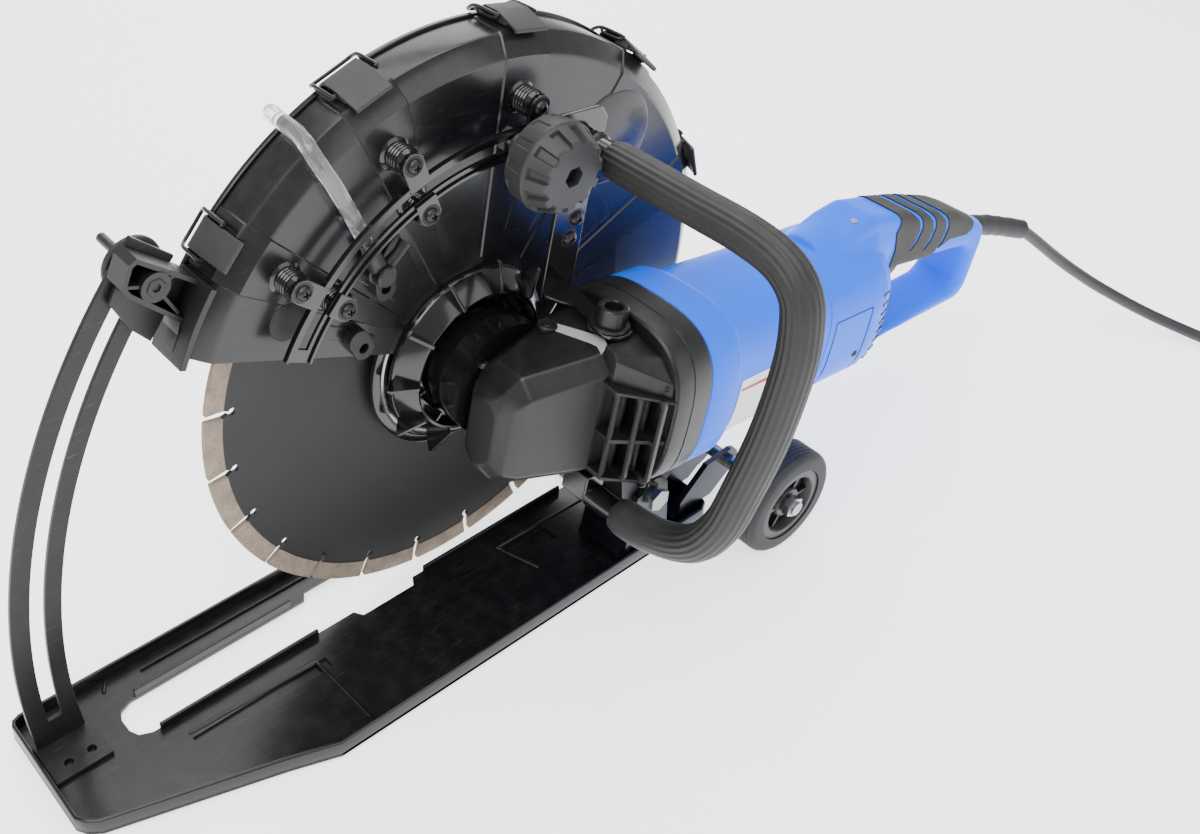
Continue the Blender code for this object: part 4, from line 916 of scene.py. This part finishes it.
# -------------------------------------------------------------------- motor
motor = shade(loft("motor_shell", [oval(*row) for row in (
    (80.2, 52.8, 54.3), (80.8, 53.7, 55.2), (82.0, 54.1, 55.6), (104.5, 54.1, 55.6), (106.6, 53.4, 55.0),
    (112.6, 49.0, 51.0), (114.6, 48.4, 50.4), (160, 47.2, 49.2), (204.2, 46.1, 48.1), (204.8, 45.4, 47.4),
    (205.6, 45.4, 47.4), (206.2, 46.0, 48.0), (223, 45.6, 47.6))], DRIVE), 28)
finish(motor, "saw", blue, "blue_plastic", "motor_housing")

bm = bmesh.new()
columns = []
for i in range(10):
    s = 117.5 + 36.0 * i / 9
    half_y = 48.2 - 1.2 * (s - 116) / 45
    half_u = 50.2 - 1.2 * (s - 116) / 45
    column = []
    for k in range(13):
        u = 9.0 - 44.0 * k / 12
        c = bulge(u / half_u)
        column.append(bm.verts.new((s, MOTOR_Y - half_y * c - 0.25, u)))
    columns.append(column)
for first, second in zip(columns, columns[1:]):
    for k in range(12):
        bm.faces.new((first[k], first[k + 1], second[k + 1], second[k]))
sticker_mesh = bpy.data.meshes.new("motor_label")
bm.transform(DRIVE)
bm.to_mesh(sticker_mesh)
bm.free()
sticker = add("motor_label", sticker_mesh)
thick = sticker.modifiers.new("thick", "SOLIDIFY")
thick.thickness = 0.0003
thick.offset = 0
settle(sticker)
finish(shade(sticker), "saw", label_white, "blue_plastic")
red = block("motor_label_line", (119, -134.9, 1.2), (152, -134.2, 2.4), DRIVE)
finish(ease(red, 0.1, 1, 32), "saw", label_red, "blue_plastic")

# --------------------------------------------------------------- rear handle
OUTLINE = [(214.0, 46), (222, 48), (240, 54), (256, 60.5), (276, 64), (300, 60), (320, 56), (346, 51),
           (390, 39), (424, 25.2), (432.5, 19), (435.5, 8), (434.5, -31), (430, -40), (422, -44),
           (345, -48.5), (325, -50.5), (285, -52), (214.0, -46)]
GAP = [(303, 14), (319, 14.5), (331, 13.5), (362, 10.5), (387, 8.5), (411, 5.5), (417, 0), (418.5, -12),
       (418, -26), (412, -31), (378, -34), (333, -42), (306, -44), (300, -39), (300, 9)]


def pillow(name, outline, steps):
    """An outline in the handle's plane, drawn in or out by an amount at each width."""
    sections = [[(s, HANDLE_Y + width, u) for s, u in shrink(outline, inset)] for width, inset in steps]
    return loft(name, sections, DRIVE)


ROUND = ((19.5, 6.2), (18.6, 3.6), (16.6, 1.6), (13.0, 0.3))
shell = pillow("handle_shell", OUTLINE, [(-w, i) for w, i in ROUND] + [(w, i) for w, i in reversed(ROUND)])
HOLE = ((22.0, -7.0), (19.5, -5.0), (18.4, -2.8), (16.4, -1.2), (13.0, 0.0))
gap = pillow("handle_gap", GAP, [(-w, i) for w, i in HOLE] + [(w, i) for w, i in reversed(HOLE)])
trigger_room = block("trigger_room", (306, HANDLE_Y - 9, -2), (348, HANDLE_Y + 9, 24), DRIVE)
combine(shell, [gap, trigger_room])
rear_body = loft("rear_body", [oval(*row) for row in (
    (206.8, 46.0, 48.0), (224, 45.8, 47.8), (258, 45.2, 48), (270, 43.5, 47.2), (280, 39, 44.5),
    (290, 31, 38))], DRIVE)
hump = loft("hump", [oval(s, half_y, half_u, 2.2, 32, HANDLE_Y, u) for s, half_y, half_u, u in (
    (224, 21, 20, 34), (250, 25, 22, 37), (276, 25, 23, 39), (300, 21, 20, 38), (312, 17, 16, 38))], DRIVE)
shell = join("handle_shell", [shell, rear_body, hump])
remesh = shell.modifiers.new("remesh", "REMESH")
remesh.mode = "VOXEL"
remesh.voxel_size = 0.0014
relax = shell.modifiers.new("relax", "SMOOTH")
relax.factor = 0.5
relax.iterations = 10
settle(shell)
thin = shell.modifiers.new("thin", "DECIMATE")
thin.ratio = 0.45
settle(shell)
skin = shell.copy()
skin.data = shell.data.copy()
skin.name = "grip_skin"
bpy.context.scene.collection.objects.link(skin)
puff = skin.modifiers.new("puff", "DISPLACE")
puff.strength = 0.0009
puff.mid_level = 0.0
settle(skin)
GRIP = [(298.5, 80), (306.0, 57), (302.5, 47), (307.5, 33), (307.0, 18), (303, 8), (357, 8), (358.5, 12.8),
        (364, 17.5), (379, 22.6), (402, 20.4), (407.5, 23.0), (410.5, 28.5), (404, 36.5), (410, 60)]
mask = slab("grip_mask", [GRIP], HANDLE_Y - 40, HANDLE_Y + 40, DRIVE)
combine(skin, [mask], "INTERSECT")
stripes = []
for k in range(3):
    s = 331 + 18.5 * k
    top_u = 90
    crown = 54.5 - 4.7 * k
    left = [(s - 8.5, top_u), (s - 8.5, crown + 2), (s - 2.5, crown - 4), (s + 1.0, crown - 12),
            (s - 1.0, crown - 22), (s - 5.5, crown - 27)]
    right = [(s - 2.0, crown - 27.5), (s + 3.0, crown - 22), (s + 5.0, crown - 12), (s + 1.5, crown - 3),
             (s - 4.5, crown + 3), (s - 4.5, top_u)]
    stripes.append(slab(f"stripe_{k}", [left + right], HANDLE_Y - 40, HANDLE_Y + 40, DRIVE))
combine(skin, stripes, "DIFFERENCE")
shade(skin, 40)
finish(skin, "saw", grip_grey, "rubber", "grip_overmould")

# Vent slots: black blocks set flush in the handle's shell, which is not cut; their black is painted shade standing
# in for the dark inside of the openings.
vent_shade = []
for row in range(9):
    u = 22 - row * 7.2
    s = 268.5 + 4.0 * (1 - abs(row - 4) / 5)
    half_y = 45.2 - 1.7 * (s - 258) / 12
    y = MOTOR_Y - half_y * bulge(u / 47.5)
    at = DRIVE @ shift(s, y + 0.5, u) @ rotate(14, "Z")
    vent_shade.append(ease(block(f"vent_{row}", (-4.2, -0.6, -1.1), (4.2, 3.5, 1.1), at), 0.5))
finish(join("handle_vent_shade", vent_shade), "saw", nylon_black, "blue_plastic")
shade(shell, 42)
finish(shell, "saw", blue, "blue_plastic", "rear_handle")
pit_screw = screw("handle_screw", (246, -130.9, -16), (0, -1, 0), DRIVE, 2.6, 0.8)
finish(pit_screw, "saw", dark_steel, "steel")

# Mould seams, as fine dark lines that follow the shell
def on_body(s, u, lift=0.0):
    half_y, half_u = 46.0 - 0.8 * (s - 206) / 52, 48.0
    u = max(-half_u + 0.5, min(half_u - 0.5, u))
    c = bulge(u / half_u)
    return (s, MOTOR_Y - half_y * c - lift, u)


seams = []
for number, line in enumerate((
        [on_body(s, 18.5) for s in (212, 220, 230, 240, 252)],
        [on_body(252, 18.5 - t) for t in (0, 8, 16, 24, 32, 40, 50)],
        [on_body(212, 18.5 - t) for t in (0, 8, 16, 24, 32, 40, 50)])):
    seams.append(sweep(f"seam_{number}", route(line, 2.5), 0.35, DRIVE, 8))
finish(shade(join("handle_seams", seams)), "saw", blue_seam, "blue_plastic")

lamp = lathe("power_lamp", [(0, 2.0), (1.6, 1.7), (2.6, 0.8), (2.9, -0.6), (0, -0.6)],
             DRIVE @ shift(262.5, -92.5, 61.3) @ rotate(-20, "X"), axis="Z", steps=28)
finish(shade(lamp), "saw", lamp_clear, "blue_plastic")

trigger_at = DRIVE @ shift(312, HANDLE_Y, 13)
trigger = slab("trigger_blade", [[(-3, 3), (31, 1), (31, -6), (28, -12), (22, -15.4), (15, -17), (6, -15),
                                  (-1, -11), (-3, -8)]], -8, 8, trigger_at)
finish(ease(trigger, 2.0, 3, 30), "trigger_body", nylon_black, "black_nylon", "trigger")


# ------------------------------------------ top bracket, knob and U handle
NECK = [(24, 46.3), (49, 46.3), (49, 108), (52, 126), (52, 160), (46, 167), (-4, 167), (-14, 158),
        (-14, 132), (-6, 126), (18, 122), (24, 108)]
LEAF = [(26, -43.5), (49.5, -43.5), (49.5, -96), (46, -101), (40, -102.5), (32, -101), (27.2, -95),
        (26.8, -84), (32, -76), (34.5, -62), (30, -54)]
bracket = [ease(slab("bracket_neck", [NECK], -46, -43, DRIVE), 0.9, 3),
           ease(slab("bracket_leaf", [LEAF], 46.5, 49.3, DRIVE, plane="XY"), 0.7)]
finish(join("top_bracket_plate", bracket), "saw", gloss_black, "black_paint", "top_bracket")
pair = [screw(f"bracket_screw_{k}", (x, -46.0, z), (0, -1, 0), SPIN, 4.6, 3.2, washer=6.2)
        for k, (x, z) in enumerate(((54.5, 90.7), (50.0, 78.7)))]
finish(join("bracket_screws", pair), "saw", dark_steel, "steel")

cap_at = DRIVE @ shift(LOOP_S, -89, 49.6)
cap = lathe("cap_screw", [(0, 7.0), (5.0, 7.0), (5.4, 12.0), (6.4, 12.8), (8.4, 12.8), (9.3, 12.0),
                          (9.4, 2.2), (11.6, 1.9), (12.0, 1.2), (12.0, 0.1), (0, 0.1)], cap_at, axis="Z",
            steps=48)
finish(shade(cap), "saw", dark_steel, "steel", "bracket_bolt")

KNOB = SPIN @ shift(19.5, 0, 146.0)


def knob_radius(y, a):
    """Skirt with shallow steps, then a cone with twelve recesses that open to the front."""
    turn = (math.degrees(a) % 30) - 15
    if y > -60.5:
        base = 25.0 + (-48 - y) / 12.5 * 1.6
        return base - (0.7 if abs(turn) < 5 and y < -50 else 0)
    if y > -63:
        return 26.7
    base = 26.4 - (-63 - y) / 13.0 * 5.2
    return base - (2.6 if abs(turn) < 6.5 and y < -65.0 else 0)


levels = [-48.0, -48.6, -49.9, -50.3, -60.0, -60.4, -61.0, -62.8, -63.2, -64.8, -65.2, -70, -75.2, -76.0]
sections = []
for y in levels:
    inset = 0.8 if y in (-48.0, -76.0) else 0.0
    sections.append([((knob_radius(y, a) - inset) * math.cos(a), y,
                      (knob_radius(y, a) - inset) * math.sin(a))
                     for a in (2 * math.pi * k / 240 for k in range(240))])
knob = loft("clamp_knob_body", sections, KNOB)
combine(knob, [slab("hex_pocket", [arc(6.4, 0, 300, 6)], -80, -69, KNOB)])
shade(knob, 30)
finish(knob, "knob", knob_grey, "black_nylon", "clamp_knob")

U_ROUTE = [(-46.5, 146), (-60, 146), (-93, 146), (-129, 146), (-163, 146), (-187, 142), (-202, 131),
           (-208, 113), (-210, 90), (-208, 50), (-202, 9), (-195, -24), (-180, -48), (-152, -62),
           (-120, -66), (-96, -66)]
u_places = route([(LOOP_S, y, u) for y, u in U_ROUTE], 5.0)
u_tube = sweep("u_tube", u_places, 8.0, DRIVE, 28)
u_foot = ease(block("u_foot", (LOOP_S - 8, -104, -70), (LOOP_S + 8, -84, -50.4), DRIVE), 1.5, 3)
finish(shade(join("u_handle_frame", [u_tube, u_foot])), "saw", gloss_black, "black_paint", "u_handle_tube")


def foam_shape(a, t):
    """Lengthwise ribs that fade out in the smooth sleeve at the lower end."""
    rib = 0.24 * math.cos(19 * a) * min(1.0, max(0.0, (0.93 - t) * 14))
    return rib + (0.5 if t > 0.93 else 0) - (1.3 if t < 0.004 or t > 0.996 else 0)


start = next(i for i, p in enumerate(u_places) if p.y < -61.5)
stop = next(i for i, p in enumerate(u_places) if p.y > -124 and p.z < -60)
foam = sweep("u_foam", u_places[start:stop], 11.1, DRIVE, 152, lobes=foam_shape)
finish(shade(foam, 60), "saw", foam_grey, "rubber", "u_handle_foam")
nut_at = DRIVE @ shift(LOOP_S, 0, 146)
nut = [ease(lathe("handle_nut", [(0, -52.6), (8.6, -52.6), (9.0, -52.0), (9.0, -47.2), (8.6, -46.6),
                                 (0, -46.6)],
                  nut_at, steps=6), 0.5),
       lathe("weld_ring", [(8.0, -57.0), (9.6, -55.6), (10.2, -53.8), (9.4, -52.5), (8.0, -52.5)], nut_at,
             steps=36)]
finish(shade(join("handle_nut_weld", nut)), "saw", dark_steel, "steel")


# --------------------------------------------------------------- guide base
SHEET = [(-307, -44), (-303, -50), (-296, -55), (-193, -86), (-160, -97.5), (150, -97.5), (157, -94),
         (160, -87), (160, -70), (157, -64), (150, -60), (125, -58), (125, 35), (121, 40), (115, 41),
         (-300, 41), (-305, 39), (-307, 35)]
SLOT = [(-251, 5), (-248, 11), (-240, 14.5), (-110, 14.5), (-106, 20.5), (-46, 20.5), (-42, 14.5),
        (98, 14.5), (104, 10), (104, -10), (98, -14.5), (-42, -14.5), (-46, -20.5), (-87, -20.5),
        (-91, -14.5), (-240, -14.5), (-248, -11), (-251, -5)]
sheet = slab("sheet", [SHEET, SLOT], 2.0, 5.0, GROUND, plane="XY")
BEADS = ((-226, -125, -43, -31), (-226, 60, 24, 33), (-60, 60, -50, -34))
grooves = [block(f"groove_{k}", (x0 + 2, y0 + 2, 3.2), (x1 - 2, y1 - 2, 8), GROUND)
           for k, (x0, x1, y0, y1) in enumerate(BEADS)]
combine(sheet, grooves)
base_parts = [ease(sheet, 0.7)]
rim_sections = []
for grow, height in ((0, 2.5), (0, 13.2), (0.5, 14.0), (1.4, 14.3), (2.2, 14.0), (2.6, 13.2), (2.6, 2.5)):
    rim_sections.append([(x, y, height) for x, y in shrink(SHEET, grow)])
base_parts.append(shade(loft("rim", rim_sections, GROUND, True), 40))
for k, (x0, x1, y0, y1) in enumerate(BEADS):
    base_parts.append(ease(block(f"sole_{k}", (x0, y0, 0.0), (x1, y1, 2.5), GROUND), 1.0, 3))
for x0, x1 in ((-236, -120), (-34, 90)):
    for side in (-1, 1):
        y0, y1 = sorted((side * 14.7, side * 17.0))
        base_parts.append(ease(block("slot_lip", (x0, y0, 4.0), (x1, y1, 11.0), GROUND), 0.9, 3))
RIDGES = (((-224, -29), (-150, -32), (-136, -33), (-133.4, -37), (-131.5, -88)),
          ((-250, 29), (-245, 37)), ((30, -61), (21, -32), (25, -29.5), (97, -32)))
for k, line in enumerate(RIDGES):
    ridge = sweep(f"ridge_{k}", route([(x, y, 4.6) for x, y in line], 3.0), 1.5, GROUND, 12)
    base_parts.append(shade(ridge))
finish(join("base_sheet", base_parts), "base", sheet_black, "black_paint", "base_plate")

tilt_arc = [arc(GUIDE[0], 137, 187, 60) + arc(GUIDE[1], 187, 137, 60),
            arc(GROOVE[0], 138.2, 184, 56) + arc(GROOVE[1], 184, 138.2, 56)]
guide = slab("guide_arc", tilt_arc, 13.5, 16.5, PIVOT)
combine(guide, [block("below_foot", (-440, -40, -80), (-330, 40, FOOT_Z), PIVOT)])
guide_parts = [ease(guide, 0.6)]
foot = block("guide_foot", (-303 - PIVOT_X, -14, FOOT_Z), (-266 - PIVOT_X, 17.7, 8.3 - PIVOT_Z), PIVOT)
holes = [lathe("hole", [(0, 20), (2.8, 20), (2.8, -20), (0, -20)],
               PIVOT @ shift(x - PIVOT_X, y, 7 - PIVOT_Z), axis="Z", steps=24)
         for x, y in ((-290.5, -4.5), (-275.5, -4.5))]
combine(foot, holes)
guide_parts.append(ease(foot, 0.6))
finish(join("guide_strip", guide_parts), "base", strip_black, "black_paint", "arc_guide")

# ------------------------------------------------------------------- wheels
for side, y in (("near", -134.5), ("far", -46.3)):
    at = WHEEL @ shift(0, y, 0)
    tread = [(27.6, 13.4), (34.5, 13.4), (36.4, 12.8), (38.2, 11.0), (39.2, 8.6)]
    for k in range(6):
        c = 7.2 - 2.9 * k
        tread += [(39.5, c + 0.9), (39.5, c - 0.3), (38.9, c - 0.6), (38.9, c - 1.5)]
    tread += [(39.2, -9.6), (38.2, -11.4), (36.4, -12.9), (34.5, -13.4), (27.6, -13.4)]
    tyre = lathe(f"tyre_body_{side}", tread, at, steps=96)
    finish(shade(tyre, 30), f"wheel_{side}", tyre_black, "rubber", f"tyre_{side}")
    hub = lathe(f"hub_body_{side}", [
        (5.4, 10.0), (10.4, 10.0), (11.2, 9.2), (12.2, 5.6), (19.6, 5.2), (21.2, 11.6), (22.2, 12.6),
        (27.0, 12.4), (27.2, -12.4), (22.2, -12.6), (21.2, -11.6), (19.6, -5.2), (12.2, -5.6), (11.2, -9.2),
        (10.4, -10.0), (5.4, -10.0)], at, steps=72)
    parts = [shade(hub, 34)]
    for k in range(6):
        rib_at = at @ rotate(60 * k)
        parts.append(ease(block("rib", (11.4, -9.0, -1.2), (20.6, 9.0, 1.2), rib_at), 0.4))
    finish(join(f"hub_ribbed_{side}", parts), f"wheel_{side}", nylon_black, "black_nylon", f"hub_{side}")


# ------------------------------------------------------- camera, light, floor
yaw, pitch = math.radians(38.49), math.radians(36.91)
view = Vector((math.sin(yaw) * math.cos(pitch), math.cos(yaw) * math.cos(pitch), -math.sin(pitch)))
camera_data = bpy.data.cameras.new("camera")
camera_data.sensor_width = 36.0
camera_data.lens = 42.486
camera_data.shift_x = 0.1514
camera_data.shift_y = -0.0935
camera_data.clip_start = 0.02
camera_data.clip_end = 60.0
camera = add("camera", camera_data)
camera.location = GROUND @ Vector((-443.0, -525.1, 720.5))
camera.rotation_euler = view.to_track_quat("-Z", "Y").to_euler()
bpy.context.scene.camera = camera


def area(name, place, target, size, power):
    """A square soft light aimed at a point."""
    data = bpy.data.lights.new(name, "AREA")
    data.shape = "RECTANGLE"
    data.size = data.size_y = size
    data.energy = power
    lamp = add(name, data)
    lamp.location = place
    lamp.rotation_euler = (Vector(target) - Vector(place)).to_track_quat("-Z", "Y").to_euler()


area("key_softbox", (-1.2, -0.4, 1.9), (0, 0, 0.15), 1.3, 38)
area("top_softbox", (0.2, 0.3, 2.1), (0, 0, 0.1), 1.8, 34)
area("rear_softbox", (0.9, 1.6, 1.2), (0, 0, 0.15), 1.4, 24)
area("fill_softbox", (0.6, -1.8, 1.0), (0, 0, 0.15), 1.6, 16)

world = bpy.data.worlds.new("studio")
world.use_nodes = True
world.node_tree.nodes["Background"].inputs["Color"].default_value = (0.96, 0.98, 1.0, 1.0)
world.node_tree.nodes["Background"].inputs["Strength"].default_value = 0.7
bpy.context.scene.world = world

floor_bm = bmesh.new()
bmesh.ops.create_grid(floor_bm, x_segments=40, y_segments=40, size=9.0)
floor = to_object("studio_floor", floor_bm)
if floor.data.polygons[0].normal.z < 0:
    floor.data.flip_normals()
floor.location.z = -0.0002
paper = surface("floor_paper", (0.92, 0.92, 0.92), 0.65, mottle=0.01, patch=2, grain=300, bump=0.03)
paper.node_tree.nodes["Principled BSDF"].inputs["Emission Color"].default_value = (1.0, 1.0, 1.0, 1.0)
paper.node_tree.nodes["Principled BSDF"].inputs["Emission Strength"].default_value = 1.6
floor.data.materials.append(paper)


bpy.context.view_layer.update()
